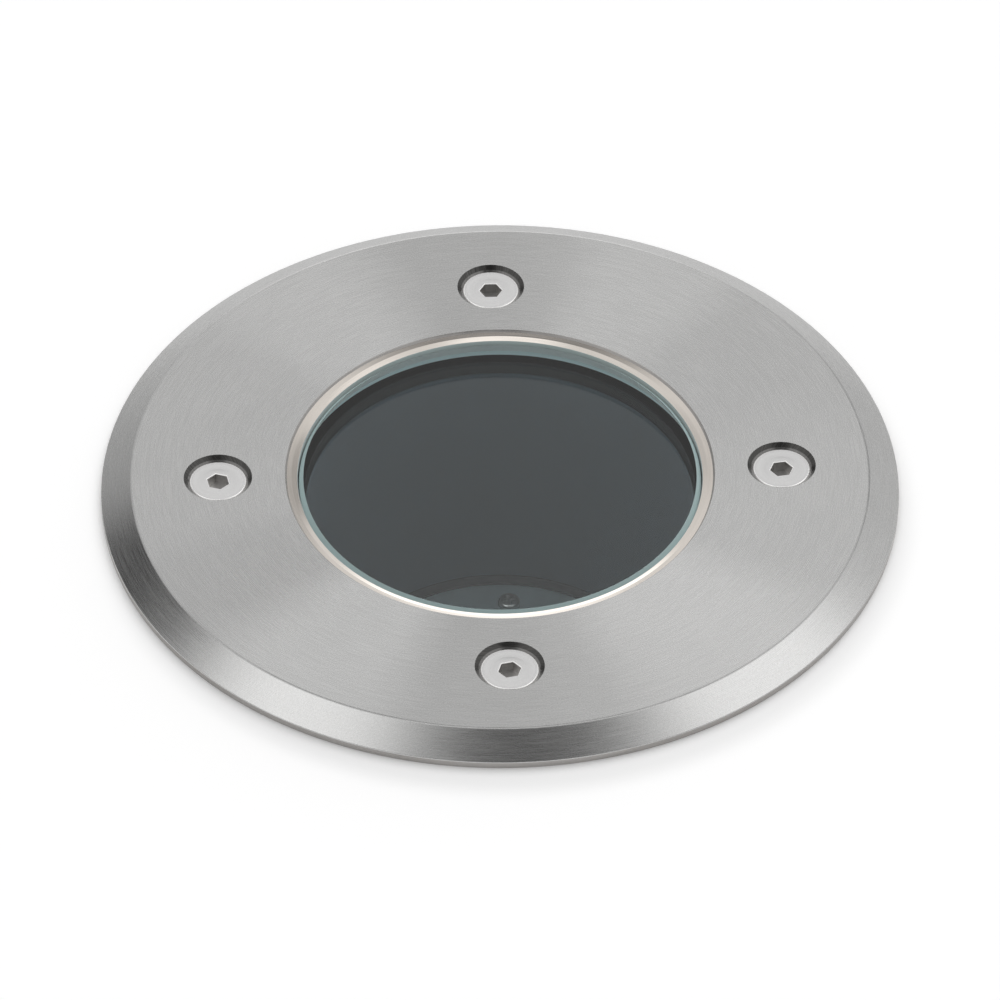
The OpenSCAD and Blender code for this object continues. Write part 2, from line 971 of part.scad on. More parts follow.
module lead_grommet() {
    color(black_colour) translate([0, -grommet_at, 0]) {
        difference() {
            union() {
                post(grommet_waist_r, plate_under_z - grommet_lip_t, plate_z + grommet_lip_t);
                post(grommet_r, plate_z, plate_z + grommet_lip_t);
                post(grommet_r, plate_under_z - grommet_lip_t, plate_under_z);
            }
            post(grommet_bore_r, plate_under_z - grommet_lip_t - overrun,
                plate_z + grommet_lip_t + overrun);
        }
    }
}

// Cable gland under the floor

module gland_body() {
    color(black_colour) difference() {
        union() {
            post(gland_r, neck_base_z, stub_top_z);
            translate([0, 0, flange_base_z]) {
                cylinder(r = gland_hex_r, h = flange_h, $fn = 6);
            }
        }
        post(cable_r + cable_gap, neck_base_z - overrun, stub_top_z + overrun);
        post(seal_r + fit_gap, neck_base_z - overrun, seal_top_z + fit_gap);
    }
}

module gland_o_ring() {
    color(black_colour) translate([0, 0, housing_base_z - ring_section_r]) {
        rotate_extrude() {
            translate([ring_at, 0]) {
                circle(r = ring_section_r - fit_gap, $fn = 32);
            }
        }
    }
}

module gland_seal() {
    color(black_colour) {
        ring(cable_r, seal_r, seal_base_z, seal_top_z);
    }
}

module gland_nut() {
    color(black_colour) difference() {
        union() {
            translate([0, 0, nut_base_z + nut_dome_h]) {
                cylinder(r = gland_hex_r, h = nut_top_z - nut_base_z - nut_dome_h, $fn = 6);
            }
            translate([0, 0, nut_base_z]) {
                cylinder(r1 = gland_flat_r - nut_dome_w, r2 = gland_flat_r, h = nut_dome_h);
            }
        }
        post(gland_r + fit_gap, neck_base_z - fit_gap, nut_top_z + overrun);
        post(seal_r + fit_gap, seal_base_z - fit_gap, nut_top_z);
        post(cable_r + cable_gap, nut_base_z - overrun, nut_top_z);
    }
}

module gland_locknut() {
    color(brass_colour) difference() {
        translate([0, 0, floor_z]) {
            cylinder(r = gland_hex_r, h = locknut_h, $fn = 6);
        }
        post(gland_r + fit_gap, floor_z - overrun, floor_z + locknut_h + overrun);
    }
}

// Sleeve

// The sleeve in section: rim, ledge under the collar, tapered wall and foot
module sleeve_profile() {
    polygon([
        [sleeve_in_r, 0],
        [sleeve_r, 0],
        [sleeve_r, ledge_z - ledge_t],
        [lower_r, ledge_z - ledge_t],
        [lower_r - sleeve_taper, sleeve_base_z],
        [foot_r, sleeve_base_z],
        [foot_r, sleeve_base_z + foot_t],
        [ledge_r - sleeve_taper, sleeve_base_z + foot_t],
        [ledge_r, ledge_z - ledge_t],
        [ledge_r, ledge_z],
        [sleeve_in_r, ledge_z]
    ]);
}

// Outer rib that keys the sleeve into the ground
module sleeve_rib() {
    web([
        [lower_r - sleeve_taper - root_sink, sleeve_base_z],
        [lower_r - sleeve_taper, sleeve_base_z],
        [sleeve_rib_r, sleeve_base_z + rib_foot_slope],
        [sleeve_rib_r, ledge_z - ledge_t / 2],
        [lower_r - sleeve_taper - root_sink, ledge_z - ledge_t / 2]
    ], sleeve_rib_t);
}

// Arch cut through the foot on both sides, for the cable
module cable_arch() {
    translate([-sleeve_r, 0, sleeve_base_z]) {
        rotate([90, 0, 90]) {
            linear_extrude(2 * sleeve_r) {
                intersection() {
                    translate([-arch_w / 2, -overrun]) {
                        square([arch_w, arch_h + overrun]);
                    }
                    translate([0, arch_h - arch_crown_r]) {
                        circle(r = arch_crown_r);
                    }
                }
            }
        }
    }
}

module mounting_sleeve() {
    color(black_colour) difference() {
        union() {
            rotate_extrude() {
                sleeve_profile();
            }
            at_turns(even_turns(sleeve_rib_count, 180 / sleeve_rib_count), 0) {
                sleeve_rib();
            }
        }
        cable_arch();
    }
}

mounting_sleeve();
housing();
threaded_inserts();
screw_seals();
lower_glass_gasket();
antiglare_cone();
mounting_plate();
plate_pillars();
plate_screws();
thermal_pad();
led_board();
led_chip();
lens_holder();
beam_lens();
holder_screws();
driver_case();
driver_bracket();
bracket_screws();
terminal_block();
terminal_screws();
block_screws();
earth_terminal();
lamp_leads();
driver_leads();
lead_grommet();
gland_body();
gland_o_ring();
gland_seal();
gland_nut();
gland_locknut();
trim_ring();
window_glass();
upper_glass_gasket();
trim_screw_right();
trim_screw_back();
trim_screw_left();
trim_screw_front();
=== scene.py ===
"""Looks and studio of a round recessed ground light.

The packed parts come in as a fixed frame. The pieces that show are turned, carved and repeated
here at full detail in the places that the frame gives, the others keep their solids, and every
one of them gets a procedural finish. Sizes are in millimetres, and the meshes in metres.
"""
import json
import logging
import math
from dataclasses import dataclass, field
from enum import Enum
from functools import cache
from typing import Any, Iterable, NamedTuple, Sequence

import bmesh
import bpy
from mathutils import Matrix, Vector


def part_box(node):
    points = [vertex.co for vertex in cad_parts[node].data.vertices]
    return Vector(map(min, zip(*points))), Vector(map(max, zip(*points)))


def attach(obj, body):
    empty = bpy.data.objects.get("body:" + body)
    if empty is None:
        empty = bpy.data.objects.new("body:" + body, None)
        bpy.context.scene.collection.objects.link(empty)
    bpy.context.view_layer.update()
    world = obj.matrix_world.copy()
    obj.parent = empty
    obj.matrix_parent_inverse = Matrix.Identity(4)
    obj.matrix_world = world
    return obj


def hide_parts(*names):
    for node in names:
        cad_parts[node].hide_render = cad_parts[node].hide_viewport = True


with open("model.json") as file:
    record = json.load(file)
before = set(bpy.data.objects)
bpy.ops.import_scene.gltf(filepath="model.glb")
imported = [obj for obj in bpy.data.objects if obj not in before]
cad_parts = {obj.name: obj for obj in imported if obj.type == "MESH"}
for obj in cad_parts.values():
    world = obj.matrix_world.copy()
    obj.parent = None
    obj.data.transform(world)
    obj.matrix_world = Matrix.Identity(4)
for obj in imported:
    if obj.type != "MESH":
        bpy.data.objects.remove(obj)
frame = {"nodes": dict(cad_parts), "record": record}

MM = 0.001
TRIM_SCREWS = 4

# Facets of the large turned pieces, of the small ones and of a rounding, and the angle
# above which an edge stays sharp.
LATHE_STEPS = 360
FACETS = 96
FILLET_STEPS = 5
SHARP_ANGLE = math.radians(24)

# A point nearer to the axis lies on it, and points nearer to each other are one.
ON_AXIS = 1e-6
DOUBLES = 1e-7

# How far a cutting form stands out of what it cuts, and how far the ground lies under zero.
SPARE = 0.5
GROUND_DROP = 0.02

# Width across a hexagon's flats as a share of its width across corners, and radius of a
# thread's ridge as a share of its pitch.
HEX_SHARE = math.cos(math.radians(30))
RIDGE_SHARE = 0.46

# Grains for each metre of the noise under a finish, the shares of its two noises, and how
# far its roughness goes either way.
BRUSHED_CLOUD = 55.0
BRUSHED_SHARES = (0.8, 0.2)
BRUSHED_WEAR = 0.05
SPECKS = 3200.0
CAST_CLOUD = 70.0
CAST_SHARES = (0.35, 0.65)
CAST_WEAR = 0.06

WHITE = (1.0, 1.0, 1.0, 1.0)
PALE = (0.97, 0.97, 0.97)

log = logging.getLogger("ground_light")

Colour = tuple[float, float, float]
Mesh = bmesh.types.BMesh
Object = bpy.types.Object
Outline = Sequence[tuple[float, float]]
Profile = Sequence[tuple[float, ...]]


# Measures of the frame


@dataclass(frozen=True)
class Extent:
    """How far a packed part reaches, in millimetres.

    Attributes:
        low: Its lowest corner.
        high: Its highest corner.
    """

    low: Vector
    high: Vector

    @classmethod
    def of(cls, node: str) -> "Extent":
        """Measures the part of the frame that has this name."""
        low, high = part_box(node)
        return cls(Vector(low) / MM, Vector(high) / MM)

    @property
    def radius(self) -> float:
        """Largest distance from the light's axis along X."""
        return max(abs(self.low.x), abs(self.high.x))

    @property
    def top(self) -> float:
        """Height of the highest point."""
        return self.high.z

    @property
    def base(self) -> float:
        """Height of the lowest point."""
        return self.low.z

    @property
    def middle(self) -> Vector:
        """Middle of the box."""
        return (self.low + self.high) / 2


# Node trees


class NodeSheet:
    """A node tree under construction, for a material, the world or a repeat."""

    def __init__(self, tree: bpy.types.NodeTree) -> None:
        """Starts on an empty tree."""
        self.tree = tree
        tree.nodes.clear()

    def add(self, kind: str, sockets: dict[Any, Any] | None = None, **settings: Any) -> Any:
        """Adds one node.

        Args:
            kind: Blender's name of the node type.
            sockets: Values or source sockets of its inputs, by name or number.
            **settings: Properties of the node.

        Returns:
            The node.
        """
        node = self.tree.nodes.new(kind)
        for name, value in settings.items():
            setattr(node, name, value)
        self.feed(node, sockets or {})
        return node

    def feed(self, node: Any, sockets: dict[Any, Any]) -> None:
        """Gives a node its inputs.

        Args:
            node: The node.
            sockets: Values or source sockets, by the input's name or number.
        """
        for name, value in sockets.items():
            if isinstance(value, bpy.types.NodeSocket):
                self.tree.links.new(value, node.inputs[name])
            else:
                node.inputs[name].default_value = value

    def maths(self, operation: str, a: Any, b: Any = 0.0, clamp: bool = False) -> Any:
        """Adds a sum of one or two numbers and returns its result's socket."""
        return self.add("ShaderNodeMath", {0: a, 1: b}, operation=operation,
                        use_clamp=clamp).outputs[0]

    def share(self, a: Any, b: Any, shares: tuple[float, float]) -> Any:
        """Adds two numbers by their shares and returns the result's socket."""
        return self.maths("ADD", self.maths("MULTIPLY", a, shares[0]),
                          self.maths("MULTIPLY", b, shares[1]))

    def noise(self, place: Any, scale: float, detail: float, roughness: float = 0.5) -> Any:
        """Adds a noise texture.

        Args:
            place: Socket of the coordinates.
            scale: Grains for each unit of them.
            detail: Number of finer layers.
            roughness: Share of the finer layers.

        Returns:
            Socket of its value, about 0.3 to 0.7.
        """
        return self.add("ShaderNodeTexNoise", {
            "Vector": place, "Scale": scale, "Detail": detail,
            "Roughness": roughness}).outputs["Fac"]

    def vector(self, operation: str, sockets: dict[Any, Any]) -> Any:
        """Adds vector arithmetic and returns the node."""
        return self.add("ShaderNodeVectorMath", sockets, operation=operation)

    def spread(self, value: Any, low: float, high: float, ends: tuple[float, float] = (0.3, 0.7),
               smooth: bool = True) -> Any:
        """Spreads a number between two ends over a new range.

        Args:
            value: Socket of the number.
            low: Result at the lower end.
            high: Result at the upper end.
            ends: The two ends of the number.
            smooth: Whether the ends are eased.

        Returns:
            Socket of the result.
        """
        return self.add("ShaderNodeMapRange", {
            "Value": value, "From Min": ends[0], "From Max": ends[1], "To Min": low,
            "To Max": high}, interpolation_type="SMOOTHSTEP" if smooth else "LINEAR",
        ).outputs["Result"]


# Finishes


class Pattern(Enum):
    """Coordinates that a finish is laid out on."""

    OBJECT = "object"
    OWN_AXIS = "own_axis"


@dataclass(frozen=True)
class Finish:
    """What every finish of the light has.

    Attributes:
        name: The record's material slot, or a name of its own.
        colour: Linear colour.
        roughness: Roughness of the surface.
        metallic: 1 for bare metal.
    """

    name: str
    colour: Colour
    roughness: float = 0.5
    metallic: float = 0.0

    def material(self) -> bpy.types.Material:
        """Makes the material, or takes the one made before.

        Returns:
            The material.
        """
        made = bpy.data.materials.get("finish_" + self.name)
        if made is not None:
            return made
        made = bpy.data.materials.new("finish_" + self.name)
        made.use_nodes = True
        sheet = NodeSheet(made.node_tree)
        shader = sheet.add("ShaderNodeBsdfPrincipled", {
            "Metallic": self.metallic, "Roughness": self.roughness,
            "Base Color": (*self.colour, 1.0)})
        out = sheet.add("ShaderNodeOutputMaterial", {"Surface": shader.outputs[0]})
        self.dress(sheet, shader, out)
        made.diffuse_color = (*self.colour, 1.0)
        return made

    def dress(self, sheet: NodeSheet, shader: Any, out: Any) -> None:
        """Adds the finish's own pattern, of which a plain finish has none."""

    def tint(self, sheet: NodeSheet, shader: Any, value: Any, contrast: float) -> None:
        """Varies the colour's brightness by a pattern.

        Args:
            sheet: The material's nodes.
            shader: Its Principled shader.
            value: Socket of the pattern, about 0.3 to 0.7.
            contrast: How far the brightness goes either way.
        """
        gain = sheet.spread(value, 1 - contrast, 1 + contrast, smooth=False)
        mixed = sheet.vector("SCALE", {0: self.colour, "Scale": gain})
        sheet.feed(shader, {"Base Color": mixed.outputs[0]})


@dataclass(frozen=True)
class PaintedSheen:
    """A sector of brushed metal with painted highlight or painted shade, standing in for the sheen
    that round brushing shows under softboxes.

    Attributes:
        turn: Its middle, in degrees round the axis.
        reach: Angle from there to where it ends.
        gain: What it adds to the brightness.
    """

    turn: float
    reach: float
    gain: float


@dataclass(frozen=True)
class Turned(Finish):
    """Bare metal with the fine lines that brushing or turning leaves round an axis.

    Attributes:
        line_w: Width of a line, in millimetres.
        line_l: Length of a line at the pattern's working radius, in millimetres.
        working_r: Radius at which the lines have that length.
        contrast: How far the lines change the brightness.
        relief: Height of the lines, in millimetres.
        pattern: Whether the lines go round the light's axis or the piece's own.
        graze: Share of the gloss that is left at a grazing angle.
        grain: How far a fine even grain changes the brightness.
        painted_sheens: Sectors with painted highlight or painted shade, standing in for the
            brushing's sheen.
        sweep_r: Radius within which the sectors are painted, in millimetres.
        rim_relief: Share of the lines' relief and gloss that is left outside that radius.
    """

    line_w: float = 0.3
    line_l: float = 6.0
    working_r: float = 60.0
    contrast: float = 0.05
    relief: float = 0.01
    pattern: Pattern = Pattern.OBJECT
    graze: float = 1.0
    grain: float = 0.0
    painted_sheens: tuple[PaintedSheen, ...] = ()
    sweep_r: float = 0.0
    rim_relief: float = 1.0

    def layout(self, sheet: NodeSheet) -> tuple[Any, Any, Any, Any]:
        """Lays out the coordinates of the pattern.

        Args:
            sheet: The material's nodes.

        Returns:
            Sockets of the plain place, of the place stretched round the axis, of the
            direction from the axis and of the distance from it.
        """
        if self.pattern is Pattern.OWN_AXIS:
            place = sheet.add("ShaderNodeUVMap", uv_map="own_axis").outputs[0]
        else:
            place = sheet.add("ShaderNodeTexCoord").outputs["Object"]
        parts = sheet.add("ShaderNodeSeparateXYZ", {0: place})
        flat = sheet.add("ShaderNodeCombineXYZ", {0: parts.outputs[0], 1: parts.outputs[1]})
        radius = sheet.vector("LENGTH", {0: flat.outputs[0]}).outputs["Value"]
        around = sheet.vector("NORMALIZE", {0: flat.outputs[0]})
        turns = sheet.vector("SCALE", {
            0: around.outputs[0], "Scale": self.working_r / self.line_l})
        across = sheet.maths("MULTIPLY", radius, 1 / (self.line_w * MM))
        depth = sheet.maths("MULTIPLY", parts.outputs[2], 1 / (self.line_w * MM))
        rise = sheet.add("ShaderNodeCombineXYZ", {2: sheet.maths("SUBTRACT", across, depth)})
        laid = sheet.vector("ADD", {0: turns.outputs[0], 1: rise.outputs[0]})
        return place, laid.outputs[0], around.outputs[0], radius

    def dress(self, sheet: NodeSheet, shader: Any, out: Any) -> None:
        """Lays noise that is stretched round the axis over colour, roughness and relief.

        Args:
            sheet: The material's nodes.
            shader: Its Principled shader.
            out: Its output node; not used.
        """
        place, laid, around, radius = self.layout(sheet)
        lines = sheet.noise(laid, 1.0, 3.0, 0.6)
        cloud = sheet.noise(place, BRUSHED_CLOUD, 2.0)
        mixed = sheet.share(lines, cloud, BRUSHED_SHARES)
        if self.grain:
            speck = sheet.maths("SUBTRACT", sheet.noise(place, SPECKS, 1.0), 0.5)
            mixed = sheet.maths("ADD", mixed, sheet.maths(
                "MULTIPLY", speck, self.grain / self.contrast))
        self.tint(sheet, shader, mixed, self.contrast)
        # Painted highlight and shade on sectors of the flat face.
        if self.painted_sheens:
            self.sweep(sheet, shader, around, radius)
        rough = sheet.spread(
            lines, self.roughness - BRUSHED_WEAR, self.roughness + BRUSHED_WEAR)
        strength: Any = 1.0
        if self.rim_relief < 1:
            strength = sheet.spread(
                radius, 1.0, self.rim_relief,
                ((self.sweep_r - 0.3) * MM, (self.sweep_r + 0.5) * MM))
            rough = sheet.add("ShaderNodeMix", {
                0: strength, 2: self.roughness, 3: rough}).outputs[0]
        bump = sheet.add("ShaderNodeBump", {
            "Height": lines, "Distance": self.relief * MM, "Strength": strength})
        sheet.feed(shader, {
            "Roughness": rough, "Normal": bump.outputs[0],
            "Specular Tint": (self.graze, self.graze, self.graze, 1.0)})

    def sweep(self, sheet: NodeSheet, shader: Any, around: Any, radius: Any) -> None:
        """Paints highlight and shade on sectors, in place of the sheen that round brushing shows
        under softboxes.

        Args:
            sheet: The material's nodes.
            shader: Its Principled shader.
            around: Socket of the direction from the axis.
            radius: Socket of the distance from the axis.
        """
        total: Any = 0.0
        for part in self.painted_sheens:
            turn, edge = math.radians(part.turn), math.cos(math.radians(part.reach))
            near = sheet.vector("DOT_PRODUCT", {0: around, 1: (math.cos(turn), math.sin(turn), 0)})
            total = sheet.maths("ADD", sheet.spread(
                near.outputs["Value"], 0.0, part.gain, (edge, 1.0)), total)
        inside = sheet.spread(
            radius, 1.0, 0.0, ((self.sweep_r - 0.3) * MM, (self.sweep_r + 0.3) * MM))
        gain = sheet.maths("ADD", sheet.maths("MULTIPLY", total, inside), 1.0)
        plain = shader.inputs["Base Color"].links[0].from_socket
        swept = sheet.vector("SCALE", {0: plain, "Scale": gain})
        sheet.feed(shader, {"Base Color": swept.outputs[0]})


@dataclass(frozen=True)
class Coated(Finish):
    """A painted, cast or moulded surface with a fine grain.

    Attributes:
        grain: Size of one grain, in millimetres.
        relief: Height of the grain, in millimetres.
        contrast: How far the surface varies in brightness.
        coat: Weight of a clear coat.
        specular: Strength of the plain gloss.
        glow: Painted light that it gives off in its own colour, standing in for light through the
            window on the glass's ground faces and the sealant, and for highlights on screw rims
            and socket bevels.
    """

    grain: float = 0.6
    relief: float = 0.02
    contrast: float = 0.08
    coat: float = 0.0
    specular: float = 0.5
    glow: float = 0.0

    def dress(self, sheet: NodeSheet, shader: Any, out: Any) -> None:
        """Lays grain over the relief, and cloudy wear over colour and roughness.

        Args:
            sheet: The material's nodes.
            shader: Its Principled shader.
            out: Its output node; not used.
        """
        place = sheet.add("ShaderNodeTexCoord").outputs["Object"]
        grain = sheet.noise(place, 1 / (self.grain * MM), 3.0, 0.55)
        cloud = sheet.noise(place, CAST_CLOUD, 4.0)
        self.tint(sheet, shader, sheet.share(grain, cloud, CAST_SHARES), self.contrast)
        rough = sheet.spread(cloud, self.roughness - CAST_WEAR, self.roughness + CAST_WEAR)
        bump = sheet.add("ShaderNodeBump", {
            "Height": grain, "Distance": self.relief * MM, "Strength": 1.0})
        # A finish's glow is painted light, given off as emission.
        sheet.feed(shader, {
            "Roughness": rough, "Normal": bump.outputs[0], "Coat Weight": self.coat,
            "Specular IOR Level": self.specular, "Emission Color": (*self.colour, 1.0),
            "Emission Strength": self.glow})


@dataclass(frozen=True)
class Clear(Finish):
    """Clear glass or a clear moulding.

    Attributes:
        index: Refractive index.
        depth_colour: Colour that a long way through the material takes on.
        density: Strength of that colour, for each metre.
    """

    index: float = 1.5
    depth_colour: Colour = (1.0, 1.0, 1.0)
    density: float = 0.0

    def dress(self, sheet: NodeSheet, shader: Any, out: Any) -> None:
        """Makes the surface clear and colours its depth."""
        sheet.feed(shader, {"Transmission Weight": 1.0, "IOR": self.index})
        if self.density:
            body = sheet.add("ShaderNodeVolumeAbsorption", {
                "Color": (*self.depth_colour, 1.0), "Density": self.density})
            sheet.feed(out, {"Volume": body.outputs[0]})


@dataclass(frozen=True)
class Finishes:
    """The finishes of the light. Those of the record are named after its slots."""

    trim: Finish = Turned(
        "brushed_trim_steel", (0.57, 0.568, 0.562), 0.27, 1.0, line_w=0.24, line_l=6.5,
        contrast=0.07, relief=0.0024, graze=0.72, grain=0.05, sweep_r=73.8, rim_relief=0.4,
        # Painted highlight and shade in sectors of the flat face, standing in for the brushed
        # sheen.
        painted_sheens=(
            PaintedSheen(60, 18, 0.11), PaintedSheen(97, 24, -0.09), PaintedSheen(124, 22, 0.11),
            PaintedSheen(209, 18, -0.07), PaintedSheen(236, 22, 0.16), PaintedSheen(264, 20, -0.08),
            PaintedSheen(308, 26, 0.20), PaintedSheen(335, 50, 0.08)))
    # Cut edges: a darker copy of the trim's steel; the darkness is painted shade.
    edge: Finish = Turned(
        "trim_edge", (0.43, 0.414, 0.40), 0.3, 1.0, line_w=0.3, line_l=9.0, contrast=0.08,
        relief=0.002)
    # Polished lip: its bright, warm colour is partly painted reflection of warm surroundings.
    lip: Finish = Turned(
        "polished_lip", (0.87, 0.81, 0.745), 0.14, 1.0, line_w=0.2, line_l=20.0, contrast=0.03,
        relief=0.001)
    # Countersinks: very dark steel, painted shade in the gap round the screw heads.
    sink: Finish = Turned(
        "machined_sink", (0.1, 0.098, 0.095), 0.25, 1.0, line_w=0.12, line_l=3.0, working_r=56.5,
        contrast=0.5, relief=0.004)
    sink_foot: Finish = Turned(
        "machined_sink_foot", (0.24, 0.235, 0.23), 0.2, 1.0, line_w=0.12, line_l=1.2,
        working_r=56.5, contrast=0.35, relief=0.004)
    # Hex socket: a darker copy of the screw's steel, painted shade inside the socket.
    socket: Finish = Coated(
        "screw_socket", (0.56, 0.55, 0.54), 0.34, 1.0, grain=0.5, relief=0.01, contrast=0.25)
    # Socket bevel and screw rim: pale metal that glows, as painted highlights.
    bevel: Finish = Coated(
        "socket_bevel", (0.92, 0.91, 0.90), 0.5, 0.6, grain=0.3, relief=0.004, contrast=0.05,
        glow=0.3)
    rim: Finish = Coated(
        "screw_rim", (0.92, 0.91, 0.90), 0.3, 0.8, grain=0.3, relief=0.002, contrast=0.04,
        glow=0.22)
    screw: Finish = Turned(
        "screw_steel", (0.82, 0.815, 0.81), 0.2, 1.0, line_w=0.16, line_l=6.0, working_r=4.0,
        contrast=0.05, relief=0.002, pattern=Pattern.OWN_AXIS)
    small_screw: Finish = Coated(
        "small_screw_steel", (0.62, 0.62, 0.61), 0.28, 1.0, grain=0.2, relief=0.003, contrast=0.06)
    strap: Finish = Coated(
        "strap_steel", (0.58, 0.59, 0.60), 0.4, 1.0, grain=1.4, relief=0.01, contrast=0.12)
    glass: Finish = Clear(
        "window_glass", (1.0, 1.0, 1.0), 0.0, depth_colour=(0.2, 0.86, 0.88), density=6.0)
    # The window's ground faces and the sealant glow: painted light standing in for light through
    # the glass.
    ground_edge: Finish = Coated(
        "ground_edge", (0.36, 0.46, 0.46), 0.75, grain=0.12, relief=0.01, contrast=0.06, glow=0.08)
    sealant: Finish = Coated(
        "window_sealant", (0.42, 0.46, 0.455), 0.7, grain=0.15, relief=0.01, contrast=0.06,
        glow=0.14)
    ground_seat: Finish = Coated(
        "ground_seat", (0.5, 0.64, 0.66), 0.8, grain=0.12, relief=0.01, contrast=0.06, glow=0.2)
    ground_wall: Finish = Coated(
        "ground_wall", (0.74, 0.81, 0.81), 0.8, grain=0.12, relief=0.01, contrast=0.04, glow=0.04)
    lens: Finish = Clear("clear_lens", (1.0, 1.0, 1.0), 0.02, index=1.49)
    rubber: Finish = Coated(
        "gasket_rubber", (0.022, 0.022, 0.023), 0.7, grain=0.25, relief=0.015, contrast=0.2,
        specular=0.35)
    sleeve: Finish = Coated(
        "sleeve_plastic", (0.045, 0.045, 0.048), 0.52, grain=0.5, relief=0.03, contrast=0.18)
    cast: Finish = Coated(
        "cast_housing", (0.105, 0.112, 0.12), 0.5, grain=0.45, relief=0.04, contrast=0.14)
    machined: Finish = Turned(
        "machined_casting", (0.56, 0.57, 0.58), 0.3, 1.0, line_w=0.2, line_l=18.0, contrast=0.06,
        relief=0.002)
    cone: Finish = Coated(
        "dark_cone", (0.09, 0.126, 0.158), 0.6, grain=0.3, relief=0.015, contrast=0.08)
    plate: Finish = Coated(
        "plate_metal", (0.53, 0.64, 0.68), 0.42, 0.6, grain=0.35, relief=0.01, contrast=0.07)
    brass: Finish = Coated(
        "brass", (0.70, 0.50, 0.22), 0.3, 1.0, grain=0.3, relief=0.004, contrast=0.1)
    pad: Finish = Coated(
        "thermal_pad", (0.62, 0.64, 0.67), 0.75, grain=0.4, relief=0.02, contrast=0.05)
    board: Finish = Coated(
        "board_white", (0.82, 0.82, 0.80), 0.35, grain=0.5, relief=0.004, contrast=0.03, coat=0.2)
    phosphor: Finish = Coated(
        "chip_phosphor", (0.86, 0.60, 0.08), 0.4, grain=0.25, relief=0.006, contrast=0.05,
        coat=0.4)
    black: Finish = Coated(
        "black_plastic", (0.026, 0.026, 0.027), 0.42, grain=0.4, relief=0.012, contrast=0.15)
    pale: Finish = Coated(
        "driver_plastic", (0.74, 0.74, 0.71), 0.45, grain=0.5, relief=0.012, contrast=0.04)
    red_lead: Finish = Coated(
        "lead_red", (0.50, 0.03, 0.025), 0.38, grain=0.6, relief=0.004, contrast=0.06, coat=0.2)
    blue_lead: Finish = Coated(
        "lead_blue", (0.03, 0.08, 0.36), 0.38, grain=0.6, relief=0.004, contrast=0.06, coat=0.2)

    def for_slot(self, slot: str) -> Finish:
        """Finds the finish that is named after a slot of the record."""
        return next(f for f in vars(Finishes).values()
                    if isinstance(f, Finish) and f.name == slot)


FINISHES = Finishes()


# Meshes


class Corner(NamedTuple):
    """One corner of a turned profile, in millimetres.

    Attributes:
        r: Distance from the axis.
        z: Height.
        fillet: Radius of its rounding.
        face: Material number of the side that starts here.
    """

    r: float
    z: float
    fillet: float = 0.0
    face: int = 0


def rounded(profile: Profile) -> list[tuple[Vector, int]]:
    """Rounds the corners of a closed profile.

    Args:
        profile: The corners in order.

    Returns:
        Points of the profile, each with the material number of the side after it.
    """
    corners = [Corner(*row) for row in profile]
    points: list[tuple[Vector, int]] = []
    for i, corner in enumerate(corners):
        here = Vector((corner.r, corner.z))
        before = Vector((corners[i - 1].r, corners[i - 1].z)) - here
        ahead = corners[(i + 1) % len(corners)]
        after = Vector((ahead.r, ahead.z)) - here
        if corner.fillet <= 0:
            points.append((here, corner.face))
            continue
        half = before.angle(after) / 2
        reach = min(corner.fillet / math.tan(half), 0.49 * before.length, 0.49 * after.length)
        radius = reach * math.tan(half)
        inward = (before.normalized() + after.normalized()).normalized()
        middle = here + inward * (radius / math.sin(half))
        start = here + before.normalized() * reach - middle
        end = here + after.normalized() * reach - middle
        first = math.atan2(start.y, start.x)
        sweep = math.atan2(end.y, end.x) - first
        sweep = (sweep + math.pi) % (2 * math.pi) - math.pi
        for k in range(FILLET_STEPS + 1):
            turn = first + sweep * k / FILLET_STEPS
            point = middle + radius * Vector((math.cos(turn), math.sin(turn)))
            points.append((point, corner.face))
    return points


def lathe(profile: Profile, steps: int = LATHE_STEPS) -> Mesh:
    """Turns a closed profile round the vertical axis.

    Args:
        profile: The profile's corners in order.
        steps: Facets round the axis.

    Returns:
        The closed mesh, in metres.
    """
    points = rounded(profile)
    mesh = bmesh.new()
    rings: list[list[bmesh.types.BMVert]] = []
    for point, _ in points:
        if point.x < ON_AXIS:
            rings.append([mesh.verts.new((0.0, 0.0, point.y * MM))] * steps)
            continue
        rings.append([
            mesh.verts.new((
                point.x * MM * math.cos(2 * math.pi * k / steps),
                point.x * MM * math.sin(2 * math.pi * k / steps),
                point.y * MM))
            for k in range(steps)])
    for i, (_, face) in enumerate(points):
        ring, following = rings[i], rings[(i + 1) % len(rings)]
        for k in range(steps):
            after = (k + 1) % steps
            loop = list(dict.fromkeys((ring[k], following[k], following[after], ring[after])))
            if len(loop) > 2:
                mesh.faces.new(loop).material_index = face
    bmesh.ops.remove_doubles(mesh, verts=mesh.verts, dist=DOUBLES)
    bmesh.ops.recalc_face_normals(mesh, faces=mesh.faces)
    return mesh


def drum(radius: float, low: float, high: float, steps: int = FACETS) -> Mesh:
    """Makes a plain cylinder on the vertical axis, as lathe() turns it."""
    return lathe([(0.0, low), (radius, low), (radius, high), (0.0, high)], steps)


